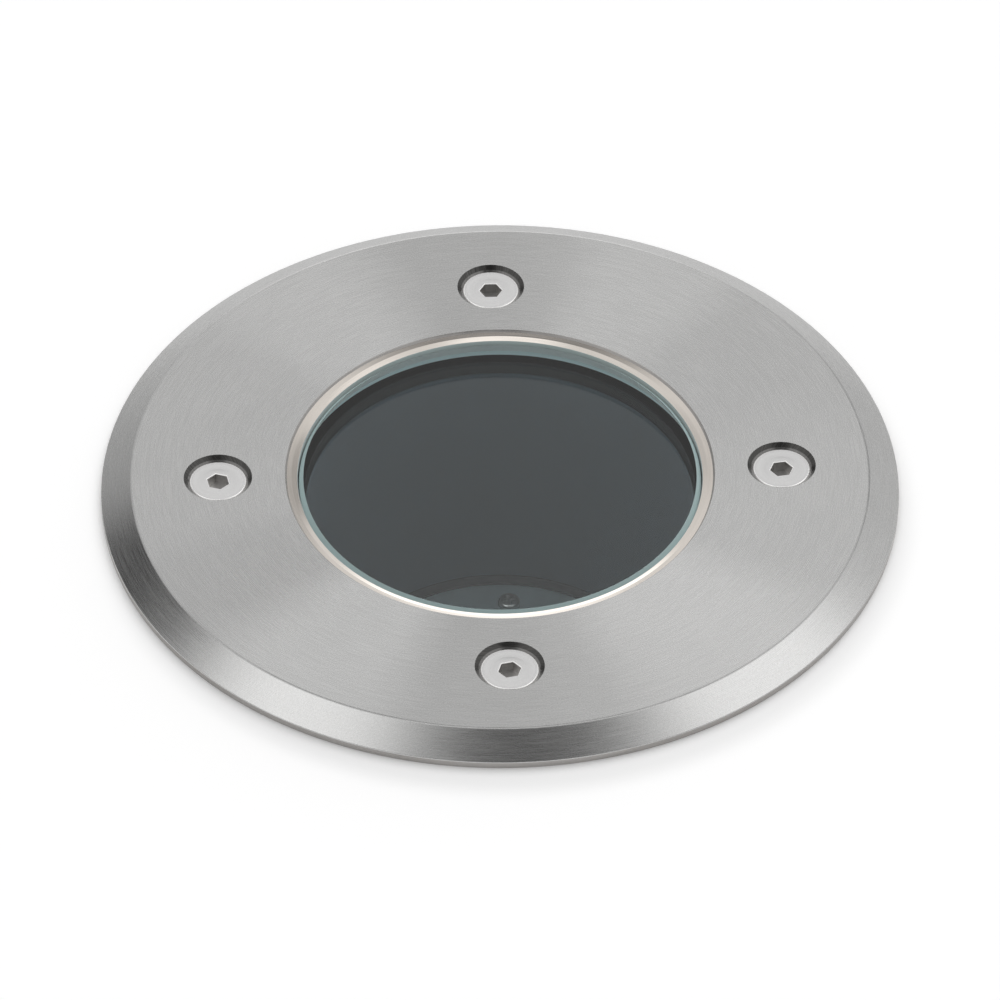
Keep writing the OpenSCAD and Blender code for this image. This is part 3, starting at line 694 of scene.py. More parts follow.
def prism(outline: Outline, low: float, high: float,
          upper_outline: Outline | None = None) -> Mesh:
    """Raises a flat outline between two heights.

    Args:
        outline: Points in order, in millimetres.
        low: Height of the lower face.
        high: Height of the upper face.
        upper_outline: Points of the upper face, where they differ.

    Returns:
        The closed mesh, in metres.
    """
    mesh = bmesh.new()
    lower = [mesh.verts.new((x * MM, y * MM, low * MM)) for x, y in outline]
    upper = [mesh.verts.new((x * MM, y * MM, high * MM)) for x, y in upper_outline or outline]
    mesh.faces.new(lower[::-1])
    mesh.faces.new(upper)
    for i in range(len(outline)):
        j = (i + 1) % len(outline)
        mesh.faces.new((lower[i], lower[j], upper[j], upper[i]))
    bmesh.ops.recalc_face_normals(mesh, faces=mesh.faces)
    return mesh


def polygon(radius: float, sides: int, first: float = 0.0) -> list[tuple[float, float]]:
    """Points of a regular polygon, from a first corner at a turn in degrees."""
    turns = [math.radians(first + 360 * k / sides) for k in range(sides)]
    return [(radius * math.cos(t), radius * math.sin(t)) for t in turns]


def arc(middle: tuple[float, float], radius: float, first: float, last: float,
        steps: int) -> list[tuple[float, float]]:
    """Points along an arc between two angles in degrees, in straight steps."""
    turns = [math.radians(first + (last - first) * k / steps) for k in range(steps + 1)]
    return [(middle[0] + radius * math.cos(t), middle[1] + radius * math.sin(t)) for t in turns]


def stand(mesh: Mesh, axis: str) -> Mesh:
    """Sets a raised outline upright, so that its own Y goes up.

    Args:
        mesh: The mesh, changed in place.
        axis: The axis that it is then raised along, X or Y.

    Returns:
        The same mesh.
    """
    rows = ((0, 0, 1), (1, 0, 0), (0, 1, 0)) if axis == "X" else ((1, 0, 0), (0, 0, -1), (0, 1, 0))
    mesh.transform(Matrix(rows).to_4x4())
    return mesh


def soften(mesh: Mesh, width: float) -> Mesh:
    """Rounds the sharp edges of a mesh.

    Args:
        mesh: The mesh, changed in place.
        width: Width of the rounding, in millimetres.

    Returns:
        The same mesh.
    """
    edges = [edge for edge in mesh.edges if edge.calc_face_angle(0.0) > SHARP_ANGLE]
    bmesh.ops.bevel(mesh, geom=edges, offset=width * MM, offset_type="OFFSET", segments=3,
                    profile=0.5, affect="EDGES", clamp_overlap=True)
    return mesh


def merge(meshes: Iterable[Mesh]) -> Mesh:
    """Puts several meshes into one, without joining their surfaces.

    Args:
        meshes: The meshes, which are used up.

    Returns:
        One mesh that holds them all.
    """
    whole = bmesh.new()
    for mesh in meshes:
        data = bpy.data.meshes.new("part")
        mesh.to_mesh(data)
        mesh.free()
        whole.from_mesh(data)
        bpy.data.meshes.remove(data)
    return whole


def moved(mesh: Mesh, place: tuple[float, float, float], turn: float = 0.0) -> Mesh:
    """Turns a mesh round the vertical axis and then moves it.

    Args:
        mesh: The mesh, changed in place.
        place: How far it goes, in millimetres.
        turn: How far it turns first, in degrees.

    Returns:
        The same mesh.
    """
    bmesh.ops.rotate(mesh, verts=mesh.verts, cent=(0, 0, 0),
                     matrix=Matrix.Rotation(math.radians(turn), 3, "Z"))
    bmesh.ops.translate(mesh, verts=mesh.verts, vec=Vector(place) * MM)
    return mesh


def set_round(profile: Profile, distance: float, count: int, first: float = 0.0,
              steps: int = FACETS) -> Mesh:
    """Turns a profile at several places round the light's axis, as one form to cut.

    Args:
        profile: The profile's corners in order.
        distance: Distance of the places from the axis.
        count: Number of places.
        first: Turn of the first place, in degrees.
        steps: Facets of each form.

    Returns:
        The mesh of all forms.
    """
    turns = [math.radians(first + 360 / count * k) for k in range(count)]
    return merge(
        moved(lathe(profile, steps), (distance * math.cos(t), distance * math.sin(t), 0.0))
        for t in turns)


def as_object(name: str, mesh: Mesh, *finishes: Finish) -> Object:
    """Makes an object of a mesh.

    Args:
        name: The object's name.
        mesh: Its mesh, which is used up.
        *finishes: Its finishes, in the order of the material numbers.

    Returns:
        The object, at the origin.
    """
    data = bpy.data.meshes.new(name)
    mesh.to_mesh(data)
    mesh.free()
    made = bpy.data.objects.new(name, data)
    bpy.context.scene.collection.objects.link(made)
    for finish in finishes:
        data.materials.append(finish.material())
    return made


def bake(made: Object) -> None:
    """Turns an object's modifiers into plain mesh.

    Args:
        made: The object.
    """
    graph = bpy.context.evaluated_depsgraph_get()
    graph.update()
    data = bpy.data.meshes.new_from_object(
        made.evaluated_get(graph), preserve_all_data_layers=True, depsgraph=graph)
    made.modifiers.clear()
    old = made.data
    made.data = data
    bpy.data.meshes.remove(old)
    data.name = made.name


def smooth(made: Object) -> None:
    """Shades an object smoothly between its sharp edges, with its large faces flat.

    Args:
        made: The object.
    """
    mesh = bmesh.new()
    mesh.from_mesh(made.data)
    for face in mesh.faces:
        face.smooth = True
    for edge in mesh.edges:
        edge.smooth = edge.calc_face_angle(0.0) < SHARP_ANGLE
    mesh.to_mesh(made.data)
    mesh.free()
    weighted = made.modifiers.new("weighted", "WEIGHTED_NORMAL")
    weighted.keep_sharp = True
    weighted.weight = 80
    bake(made)


class Join(Enum):
    """Ways to put a closed form and an object together."""

    CUT = "DIFFERENCE"
    ADD = "UNION"
    KEEP = "INTERSECT"


def carve(made: Object, cutter: Mesh, *finishes: Finish, how: Join = Join.CUT) -> None:
    """Cuts a closed form out of an object, adds it, or keeps only what both have.

    Args:
        made: The object.
        cutter: The form, which is used up.
        *finishes: Finishes of the form's faces.
        how: What is done with the form.
    """
    tool = as_object("cutter", cutter, *finishes)
    cut = made.modifiers.new("cut", "BOOLEAN")
    cut.operation = how.value
    cut.solver = "EXACT"
    cut.material_mode = "TRANSFER"
    cut.object = tool
    bake(made)
    bpy.data.objects.remove(tool)


def taken(made: Object) -> Mesh:
    """Takes an object's mesh and removes the object.

    Args:
        made: The object.

    Returns:
        Its mesh.
    """
    mesh = bmesh.new()
    mesh.from_mesh(made.data)
    data = made.data
    bpy.data.objects.remove(made)
    bpy.data.meshes.remove(data)
    return mesh


def place_piece(made: Object, body: str, slot: str, *nodes: str) -> None:
    """Parents a finished piece to its body and hides the packed parts that it stands for.

    Args:
        made: The piece.
        body: The body that it moves with.
        slot: The record's material slot; not used.
        *nodes: The packed parts that it stands for.
    """
    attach(made, body)
    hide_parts(*nodes)
    log.info("%s: %d faces on %s", made.name, len(made.data.polygons), body)


def finish_piece(made: Object, body: str, slot: str, *nodes: str) -> None:
    """Smooths a piece and places it, as place_piece() does."""
    smooth(made)
    place_piece(made, body, slot, *nodes)


# Repeats


class RepeatTree:
    """A Geometry Nodes tree with named inputs that ends in plain, dressed mesh."""

    def __init__(self, name: str, inputs: dict[str, str]) -> None:
        """Starts the tree.

        Args:
            name: The tree's name.
            inputs: Socket types of its own inputs, by name.
        """
        self.group = bpy.data.node_groups.new(name, "GeometryNodeTree")
        self.sheet = NodeSheet(self.group)
        self.sockets: dict[str, Any] = {}
        face = self.group.interface
        face.new_socket("Geometry", in_out="OUTPUT", socket_type="NodeSocketGeometry")
        kinds = {"Geometry": "NodeSocketGeometry", **inputs, "Material": "NodeSocketMaterial"}
        for label, kind in kinds.items():
            self.sockets[label] = face.new_socket(label, in_out="INPUT", socket_type=kind)
        self.given = self.sheet.add("NodeGroupInput")

    def get(self, label: str) -> Any:
        """Socket that brings one input into the tree."""
        return self.given.outputs[label]

    def close(self, geometry: Any) -> None:
        """Ends the tree.

        Args:
            geometry: Socket of the geometry made.
        """
        real = self.sheet.add("GeometryNodeRealizeInstances", {"Geometry": geometry})
        dressed = self.sheet.add("GeometryNodeSetMaterial", {
            "Geometry": real.outputs[0], "Material": self.get("Material")})
        self.sheet.add("NodeGroupOutput", {0: dressed.outputs[0]})

    def apply(self, made: Object, finish: Finish, **values: Any) -> None:
        """Runs the tree on an object and leaves plain mesh.

        Args:
            made: The object.
            finish: Finish of the result.
            **values: The tree's own inputs, with underscores for spaces.
        """
        modifier = made.modifiers.new(self.group.name, "NODES")
        modifier.node_group = self.group
        modifier[self.sockets["Material"].identifier] = finish.material()
        for label, value in values.items():
            modifier[self.sockets[label.replace("_", " ")].identifier] = value
        bake(made)


@cache
def even_turns_tree() -> RepeatTree:
    """Builds the tree that repeats a piece round the light's axis.

    Returns:
        The tree, with Count and First turn in radians.
    """
    tree = RepeatTree("even_turns", {"Count": "NodeSocketInt", "First turn": "NodeSocketFloat"})
    sheet = tree.sheet
    points = sheet.add("GeometryNodePoints", {"Count": tree.get("Count")})
    index = sheet.add("GeometryNodeInputIndex")
    share = sheet.maths("DIVIDE", index.outputs[0], tree.get("Count"))
    turn = sheet.maths(
        "ADD", sheet.maths("MULTIPLY", share, 2 * math.pi), tree.get("First turn"))
    around = sheet.add("ShaderNodeCombineXYZ", {2: turn})
    copies = sheet.add("GeometryNodeInstanceOnPoints", {
        "Points": points.outputs[0], "Instance": tree.get("Geometry"),
        "Rotation": around.outputs[0]})
    tree.close(copies.outputs[0])
    return tree


@cache
def thread_tree() -> RepeatTree:
    """Builds the tree that winds a rolled thread round a shank.

    Returns:
        The tree, with the thread's Turns, Pitch, Crest radius and Start height in metres.
    """
    tree = RepeatTree("rolled_thread", {
        "Turns": "NodeSocketFloat", "Pitch": "NodeSocketFloat",
        "Crest radius": "NodeSocketFloat", "Start height": "NodeSocketFloat"})
    sheet = tree.sheet
    ridge = sheet.maths("MULTIPLY", tree.get("Pitch"), RIDGE_SHARE)
    path_r = sheet.maths("SUBTRACT", tree.get("Crest radius"), ridge)
    height = sheet.maths("MULTIPLY", tree.get("Turns"), tree.get("Pitch"))
    spiral = sheet.add("GeometryNodeCurveSpiral", {
        "Resolution": 40, "Rotations": tree.get("Turns"), "Start Radius": path_r,
        "End Radius": path_r, "Height": height})
    section = sheet.add("GeometryNodeCurvePrimitiveCircle", {"Resolution": 16, "Radius": ridge})
    coil = sheet.add("GeometryNodeCurveToMesh", {
        "Curve": spiral.outputs[0], "Profile Curve": section.outputs[0], "Fill Caps": True})
    start = sheet.add("ShaderNodeCombineXYZ", {2: tree.get("Start height")})
    raised = sheet.add("GeometryNodeTransform", {
        "Geometry": coil.outputs[0], "Translation": start.outputs[0]})
    soft = sheet.add("GeometryNodeSetShadeSmooth", {"Geometry": raised.outputs[0]})
    tree.close(soft.outputs[0])
    return tree


# Cover


@dataclass
class TrimRing:
    """The brushed ring that covers the hole in the ground and holds the window down.

    Attributes:
        flat_r: Radius at which the outer chamfer starts.
        edge_h: Height of the plain edge below the chamfer.
        window_r: Radius of the window hole.
        lip_r: Radius at which the polished lip starts.
        lip_drop: How far the lip falls towards the window.
        lip_step: Width and depth of the step at the lip's outer edge.
        lip_slope: Width of the lip's slope, and its depth where it ends.
        wall_h: Height of the sealed wall under the lip.
        screw_at: Distance of the trim screws from the axis.
        sink_r: Radius of the countersinks at the top.
        sink_band: Height of the steep band round their mouth.
        hole_r: Radius of the screw holes.
        extent: How far the packed ring reaches.
    """

    flat_r: float = 74.0
    edge_h: float = 1.5
    window_r: float = 40.6
    lip_r: float = 42.7
    lip_drop: float = 1.0
    lip_step: tuple[float, float] = (0.3, 0.42)
    lip_slope: tuple[float, float] = (1.0, 0.62)
    wall_h: float = 1.4
    screw_at: float = 56.5
    sink_r: float = 6.85
    sink_band: float = 0.74
    hole_r: float = 3.3
    extent: Extent = field(default_factory=lambda: Extent.of("trim_ring"))

    def profile(self) -> Profile:
        """Section of the ring, from its inner lower corner round the outside.

        Returns:
            The corners: the lip is material 1, cut edges 2 and the sealed wall 3.
        """
        top, outer = self.extent.top, self.extent.radius
        step_w, step_h = self.lip_step
        slope_w, slope_h = self.lip_slope
        lip_z = top - self.lip_drop
        return [
            (self.window_r, 0.0, 0.15),
            (outer, 0.0, 0.2, 2),
            (outer, self.edge_h, 0.22),
            (self.flat_r, top, 1.2),
            (self.lip_r + step_w, top, 0.15, 2),
            (self.lip_r, top - step_h, 0.0, 1),
            (self.lip_r - slope_w, top - slope_h, 0.25, 1),
            (self.window_r, lip_z, 0.1, 3),
            (self.window_r, lip_z - self.wall_h),
        ]

    def sinks(self) -> Mesh:
        """The countersunk holes, as one form to cut.

        Returns:
            The mesh.
        """
        top, mouth_r = self.extent.top, self.sink_r + 0.06
        depth, band = self.sink_r - self.hole_r, self.sink_band
        return set_round([
            (0.0, -SPARE), (self.hole_r, -SPARE), (self.hole_r, top - depth, 0.0, 1),
            (self.sink_r - band, top - band), (self.sink_r, top), (mouth_r, top + 0.06),
            (mouth_r, top + SPARE), (0.0, top + SPARE)],
            self.screw_at, TRIM_SCREWS, steps=128)

    def build(self) -> None:
        """Turns the ring, sinks its screw holes and dresses it."""
        # Painted light on the ring: darker steel on the cut edges as painted shade, a brighter,
        # warmer lip partly as painted reflection, and a glowing sealed wall.
        ring = as_object("dressed_trim_ring", lathe(self.profile(), 480),
                         FINISHES.trim, FINISHES.lip, FINISHES.edge, FINISHES.sealant)
        # The countersinks are dressed dark, as painted shade.
        carve(ring, self.sinks(), FINISHES.sink, FINISHES.sink_foot)
        finish_piece(ring, "cover", "brushed_trim_steel", "trim_ring")


@dataclass
class TrimScrew:
    """A countersunk hex socket screw of the trim ring.

    Attributes:
        side: Which screw it is: right, back, left or front.
        socket_turn: Turn of its socket, in degrees.
        head_r: Radius of the head.
        ring_r: Radius of the faint turned ring on its face.
        dish: How far the face lies lower inside that ring.
        neck_h: Height of the plain neck under the head.
        shank_r: Outer radius of the thread.
        socket_af: Width of the socket across its flats.
        socket_depth: Depth of the socket's flats.
        rim_drop: Height of the rounded rim over the head's plain edge.
        head_edge: Height of the head's plain edge.
        rim_fillet: Radius of the rounding between face and edge.
        pitch: Pitch of the thread.
    """

    side: str
    socket_turn: float
    head_r: float = 5.7
    ring_r: float = 3.5
    dish: float = 0.02
    neck_h: float = 1.2
    shank_r: float = 2.95
    socket_af: float = 4.0
    socket_depth: float = 2.4
    rim_drop: float = 0.28
    head_edge: float = 0.2
    rim_fillet: float = 0.3
    pitch: float = 1.0

    def profile(self, extent: Extent) -> Profile:
        """Section of head and shank, with the core of the thread.

        Args:
            extent: The packed screw's extent.

        Returns:
            The corners.
        """
        top, tip = extent.top, extent.base
        shoulder = top - self.rim_drop - self.head_edge
        neck = shoulder - (self.head_r - self.shank_r)
        core = self.shank_r - 0.5 * self.pitch
        return [
            (0.0, top - self.dish), (self.ring_r, top - self.dish),
            (self.ring_r + 0.12, top), (self.head_r, top, self.rim_fillet),
            (self.head_r, shoulder, 0.12), (self.shank_r, neck, 0.3),
            (self.shank_r, neck - self.neck_h, 0.1), (core, neck - self.neck_h - 0.5),
            (core, tip + 0.7), (core - 0.7, tip), (0.0, tip)]

    def hexagon(self, grown: float) -> list[tuple[float, float]]:
        """Outline of the socket, with its corners moved out by a width."""
        return polygon(self.socket_af / 2 / HEX_SHARE + grown, 6, self.socket_turn)

    def socket(self, top: float) -> Mesh:
        """The hex socket with its drilled end, as forms to cut.

        Args:
            top: Height of the head's face.

        Returns:
            The mesh.
        """
        low, drill_r = top - self.socket_depth, self.socket_af / 2 - 0.05
        drill = lathe([(0.0, low + 0.4), (drill_r, low + 0.4), (drill_r, low - 0.02),
                       (0.0, low - 1.1)], 48)
        return merge([prism(self.hexagon(0.0), low, top + 1.0), drill])

    def build(self) -> None:
        """Makes the screw, winds its thread and dresses it."""
        node = f"trim_screw_{self.side}"
        extent = Extent.of(node)
        middle = extent.middle
        screw = as_object("blank", lathe(self.profile(extent), FACETS), FINISHES.screw)
        bevel = prism(
            self.hexagon(-0.02), extent.top - 0.2, extent.top + 0.05, self.hexagon(0.23))
        # The socket is dressed in a darker steel as painted shade.
        carve(screw, self.socket(extent.top), FINISHES.socket)
        # The bevel glows as a painted highlight.
        carve(screw, bevel, FINISHES.bevel)
        thread_top = extent.top - 0.45 - (self.head_r - self.shank_r) - 1.6
        turns = (thread_top - extent.base - 0.9) / self.pitch
        coil = as_object("coil", bmesh.new())
        thread_tree().apply(
            coil, FINISHES.screw, Turns=turns, Pitch=self.pitch * MM,
            Crest_radius=self.shank_r * MM, Start_height=(extent.base + 0.6) * MM)
        screw = as_object(f"dressed_{node}", merge([taken(screw), taken(coil)]),
                          FINISHES.screw, FINISHES.socket, FINISHES.bevel, FINISHES.rim)
        smooth(screw)
        self.paint_rim_highlight(screw, extent.top)
        self.map_own_axis(screw)
        screw.data.transform(Matrix.Translation(Vector((middle.x, middle.y, 0.0)) * MM))
        place_piece(screw, f"{self.side}_screw", "screw_steel", node)

    def paint_rim_highlight(self, screw: Object, top: float) -> None:
        """Gives the rounded rim of the head its own finish, which glows as a painted highlight.

        Args:
            screw: The screw, still on the origin's axis.
            top: Height of the head's face.
        """
        for face in screw.data.polygons:
            spot = face.center / MM
            if spot.z > top - self.rim_fillet and math.hypot(spot.x, spot.y) > (
                    self.head_r - self.rim_fillet + 0.02):
                face.material_index = 3

    @staticmethod
    def map_own_axis(screw: Object) -> None:
        """Keeps each point's place round the screw's own axis as a UV map.

        Args:
            screw: The screw, still on the origin's axis.
        """
        layer = screw.data.uv_layers.new(name="own_axis")
        for loop in screw.data.loops:
            spot = screw.data.vertices[loop.vertex_index].co
            layer.data[loop.index].uv = (spot.x, spot.y)


@dataclass
class Window:
    """The clear window with its ground edge, and the gaskets over and under its flange.

    Attributes:
        pane_r: Radius of the raised pane.
        arris: Width of the ground arris.
        seat_r: Inner radius of the ground seat under the flange.
        upper_gasket_r: Inner radius of the gasket over the flange.
        lower_gasket_r: Inner radius of the gasket under it.
        bead_r: Radius of the bead on the lower gasket's inner edge.
    """

    pane_r: float = 40.3
    arris: float = 0.9
    seat_r: float = 41.5
    upper_gasket_r: float = 40.9
    lower_gasket_r: float = 39.0
    bead_r: float = 0.35

    def build(self) -> None:
        """Makes the window and its gaskets."""
        glass, flange_top = Extent.of("window_glass"), Extent.of("upper_glass_gasket").base
        # The pane's ground faces glow: painted light standing in for light through the glass.
        pane = as_object("dressed_window", lathe([
            (0.0, glass.base), (self.seat_r, glass.base, 0.0, 3),
            (self.seat_r + 0.05, glass.base + 0.05, 0.0, 3),
            (glass.radius - 0.5, glass.base + 0.05, 0.0, 1),
            (glass.radius, glass.base + 0.5, 0.05, 1),
            (glass.radius, flange_top, 0.2, 1),
            (self.pane_r, flange_top, 0.25, 2),
            (self.pane_r, glass.top - self.arris, 0.1, 1),
            (self.pane_r - self.arris, glass.top, 0.06, 0),
            (0.0, glass.top)]),
            FINISHES.glass, FINISHES.ground_edge, FINISHES.ground_wall, FINISHES.ground_seat)
        finish_piece(pane, "cover", "window_glass", "window_glass")
        self.gasket("upper", "cover", self.upper_gasket_r, 0.0)
        self.gasket("lower", "unit", self.lower_gasket_r, self.bead_r)

    @staticmethod
    def gasket(place: str, body: str, inner_r: float, bead_r: float) -> None:
        """Makes a flat rubber ring with rounded edges, and a bead inside it if it has one.

        Args:
            place: Which gasket it is: upper or lower.
            body: The body that it moves with.
            inner_r: Its inner radius.
            bead_r: Radius of the bead on its inner edge.
        """
        node, edge = f"{place}_glass_gasket", max(bead_r, 0.2)
        extent = Extent.of(node)
        ring = as_object(f"dressed_{place}_gasket", lathe([
            (inner_r, extent.base, edge), (extent.radius, extent.base, 0.2),
            (extent.radius, extent.top, 0.2), (inner_r, extent.top, edge)]),
            FINISHES.rubber)
        finish_piece(ring, body, "gasket_rubber", node)


# Lamp chamber


@dataclass
class LampChamber:
    """The dark cone under the window.

    Attributes:
        top_r: Inner radius of the cone under its lip.
        base_r: Inner radius of the cone at the mounting plate.
        wall: Thickness of its wall.
        lip_t: Thickness of the lip that rests on the housing.
        foot_r: Inner radius of the foot that rests on the mounting plate.
        foot_t: Thickness of that foot.
    """

    top_r: float = 38.8
    base_r: float = 34.0
    wall: float = 1.2
    lip_t: float = 1.0
    foot_r: float = 32.1
    foot_t: float = 0.8

    def build(self) -> None:
        """Makes the spun cone with its rolled lip and its foot."""
        cone = Extent.of("antiglare_cone")
        under_lip = cone.top - self.lip_t
        foot_top = cone.base + self.foot_t
        slope = (self.top_r - self.base_r) / (cone.top - cone.base)
        # The foot is dressed in black rubber as painted shade where the cone meets the plate.
        made = as_object("dressed_cone", lathe([
            (self.foot_r, cone.base, 0.2), (self.base_r + self.wall, cone.base, 0.3),
            (self.top_r + self.wall, under_lip, 0.25),
            (cone.radius, under_lip, 0.3), (cone.radius, cone.top, 0.3),
            (self.top_r, cone.top, 0.9),
            (self.base_r + slope * self.foot_t, foot_top, 0.4, 1),
            (self.foot_r, foot_top, 0.25, 1)]), FINISHES.cone, FINISHES.rubber)
        finish_piece(made, "unit", "dark_cone", "antiglare_cone")


@dataclass
class MountingPlate:
    """The plate at the foot of the cone, with the screws that hold it on its pillars.

    Attributes:
        screw_count: Number of its screws.
        screw_at: Distance of its screws from the axis.
        first_turn: Turn of the first screw round the axis, in degrees.
        screw_r: Radius of their holes.
        head_r: Radius of the screw heads.
        head_h: Height of the screw heads.
        shank_r: Radius of their shanks.
        cross: Half the length and half the width of the cross recess's arms.
        cross_h: Depth of the recess.
        cross_turn: Turn of the recess, in degrees.
        grommet_at: Distance of the lead hole from the axis.
        grommet_r: Radius of the lead hole.
    """

    screw_count: int = 3
    screw_at: float = 26.4
    first_turn: float = 84.0
    screw_r: float = 1.3
    head_r: float = 2.3
    head_h: float = 1.5
    shank_r: float = 1.25
    cross: tuple[float, float] = (1.45, 0.32)
    cross_h: float = 0.7
    cross_turn: float = 20.0
    grommet_at: float = 19.0
    grommet_r: float = 2.85

    def build(self) -> None:
        """Makes the plate and its screws."""
        extent = Extent.of("mounting_plate")
        plate = as_object("dressed_plate", lathe([
            (0.0, extent.base), (extent.radius, extent.base, 0.25),
            (extent.radius, extent.top, 0.35), (0.0, extent.top)]), FINISHES.plate)
        low, high = extent.base - SPARE, extent.top + SPARE
        lead_hole = moved(drum(self.grommet_r, low, high, 48), (0.0, -self.grommet_at, 0.0))
        screw_holes = set_round(
            [(0.0, low), (self.screw_r, low), (self.screw_r, high), (0.0, high)],
            self.screw_at, self.screw_count, self.first_turn, 48)
        carve(plate, merge([lead_hole, screw_holes]), FINISHES.plate)
        finish_piece(plate, "unit", "plate_metal", "mounting_plate")
        self.screws(extent.top)

    def screws(self, level: float) -> None:
        """Makes the pan head screws with their cross recess.

        Args:
            level: Height of the plate's upper face.
        """
        base, top = Extent.of("plate_screws").base, level + self.head_h
        screw = as_object("dressed_plate_screws", lathe([
            (0.0, base), (self.shank_r - 0.25, base, 0.3), (self.shank_r, level - 1.0, 0.1),
            (self.shank_r, level, 0.15), (self.head_r, level, 0.15),
            (self.head_r, top - 0.15, 0.7), (0.0, top)], 64), FINISHES.small_screw)
        reach, arm = self.cross
        for turn in (self.cross_turn, self.cross_turn + 90.0):
            blade = prism([(-reach, -arm), (reach, -arm), (reach, arm), (-reach, arm)],
                          top - self.cross_h, top + 1.0)
            carve(screw, moved(blade, (0.0, 0.0, 0.0), turn), FINISHES.small_screw)
        smooth(screw)
        screw.data.transform(Matrix.Translation(Vector((self.screw_at, 0.0, 0.0)) * MM))
        even_turns_tree().apply(
            screw, FINISHES.small_screw, Count=self.screw_count,
            First_turn=math.radians(self.first_turn))
        place_piece(screw, "unit", "small_screw_steel", "plate_screws")


# Below the ground


@dataclass
class Housing:
    """The finned die-cast pot that holds everything below the cover.

    Attributes:
        body_r: Radius of the wall under the collar.
        foot_r: Radius of the wall at the floor.
        cavity_r: Inner radius of the wall.
        recess_r: Radius of the glass recess.
        seat_z: Height of the lower gasket's seat.
        rebate: Radius and depth of the cone's rebate in the seat.
        floor_z: Height of the inner floor.
        collar_t: Thickness of the collar.
        haunch: Width and height of the slope under the collar.
        throat_r: Radius of the gland's hole.
        screw_at: Distance of the trim screws from the axis.
        boss_r: Radius of their bosses.
        boss_z: Height of the bosses' lower end.
        insert: Radius and lowest height of the inserts' bores.
        pocket: Radius and depth of the screw seals' pockets.
        fin_count: Number of cooling fins.
        fin_r: Distance of their outer edge from the axis.
        fin_t: Thickness of a fin.
        fin_fillet: Radius of the cast fillet at a fin's root.
        fin_nose: Radius of a fin's rounded edge.
        fin_ends: Distance of a fin from the housing's foot, and from its collar.
        fin_rise: Height of the slope at a fin's foot.
        root_t: How far a fin reaches into the wall.
        gusset: Half the thickness of a boss's gusset, and how far it reaches down the wall.
        earth: Place along X and radius of the boss under the earth terminal.
        extent: How far the packed housing reaches.
    """

    body_r: float = 43.9
    foot_r: float = 42.9
    cavity_r: float = 40.4
    recess_r: float = 47.6
    seat_z: float = -7.8
    rebate: tuple[float, float] = (44.0, 1.0)
    floor_z: float = -95.0
    collar_t: float = 14.0
    haunch: tuple[float, float] = (8.0, 12.0)
    throat_r: float = 8.0
    screw_at: float = 56.5
    boss_r: float = 6.5
    boss_z: float = -24.45
    insert: tuple[float, float] = (4.55, -21.95)
    pocket: tuple[float, float] = (5.85, 2.4)
    fin_count: int = 16
    fin_r: float = 51.9
    fin_t: float = 2.4
    fin_fillet: float = 1.5
    fin_nose: float = 0.8
    fin_ends: tuple[float, float] = (4.0, 3.0)
    fin_rise: float = 8.2
    root_t: float = 3.0
    gusset: tuple[float, float] = (2.0, 16.0)
    earth: tuple[float, float] = (-28.0, 4.8)
    extent: Extent = field(default_factory=lambda: Extent.of("housing"))

    def profile(self) -> Profile:
        """Section of the pot, with its machined faces on material 1.

        Returns:
            The corners.
        """
        base, collar_r = self.extent.base, self.extent.radius
        haunch_w, haunch_h = self.haunch
        rebate_r, rebate_t = self.rebate
        return [
            (self.throat_r, base, 0.2, 1), (self.throat_r + 5.0, base),
            (self.foot_r - 3.0, base, 1.2), (self.foot_r, base + 3.0, 1.2),
            (self.body_r, -self.collar_t - haunch_h, 4.0),
            (self.body_r + haunch_w, -self.collar_t, 1.5),
            (collar_r, -self.collar_t, 0.9), (collar_r, 0.0, 0.5, 1),
            (self.recess_r, 0.0, 0.3, 1), (self.recess_r, self.seat_z, 0.2, 1),
            (rebate_r, self.seat_z, 0.1, 1), (rebate_r, self.seat_z - rebate_t, 0.0, 1),
            (self.cavity_r, self.seat_z - rebate_t, 0.2),
            (self.cavity_r, self.floor_z, 1.5), (self.throat_r, self.floor_z, 0.2, 1)]

    def fin_outline(self, root_r: float) -> list[tuple[float, float]]:
        """Cross-section of a fin, with its root fillets and its rounded edge.

        Args:
            root_r: Radius of the wall at this height.

        Returns:
            The points.
        """
        half, fillet, nose = self.fin_t / 2, self.fin_fillet, self.fin_nose
        wall = root_r - 0.1
        side = [(wall - 1.2, half + fillet), *arc(
            (wall + fillet, half + fillet), fillet, 180, 270, 5)]
        tip = arc((self.fin_r - nose, half - nose), nose, 90, 0, 4)
        upper = side + tip
        return upper + [(x, -y) for x, y in upper[::-1]]

    def fins(self) -> Mesh:
        """One cast fin, repeated round the wall.

        Returns:
            The mesh of all fins.
        """
        low, high = self.extent.base + self.fin_ends[0], -self.collar_t - self.fin_ends[1]
        slope = self.collar_t + self.haunch[1] * 0.9
        root, edge = self.foot_r - self.root_t, self.fin_r + 0.2
        fin = as_object("fin", prism(
            self.fin_outline(self.foot_r), low, high, self.fin_outline(self.body_r)),
            FINISHES.cast)
        side = [(root, low), (self.foot_r, low), (edge, low + self.fin_rise), (edge, -slope),
                (self.body_r + self.haunch[0] - 3.0, high), (root, high)]
        carve(fin, stand(prism(side, -6.0, 6.0), "Y"), FINISHES.cast, how=Join.KEEP)
        even_turns_tree().apply(
            fin, FINISHES.cast, Count=self.fin_count, First_turn=math.pi / self.fin_count)
        return taken(fin)

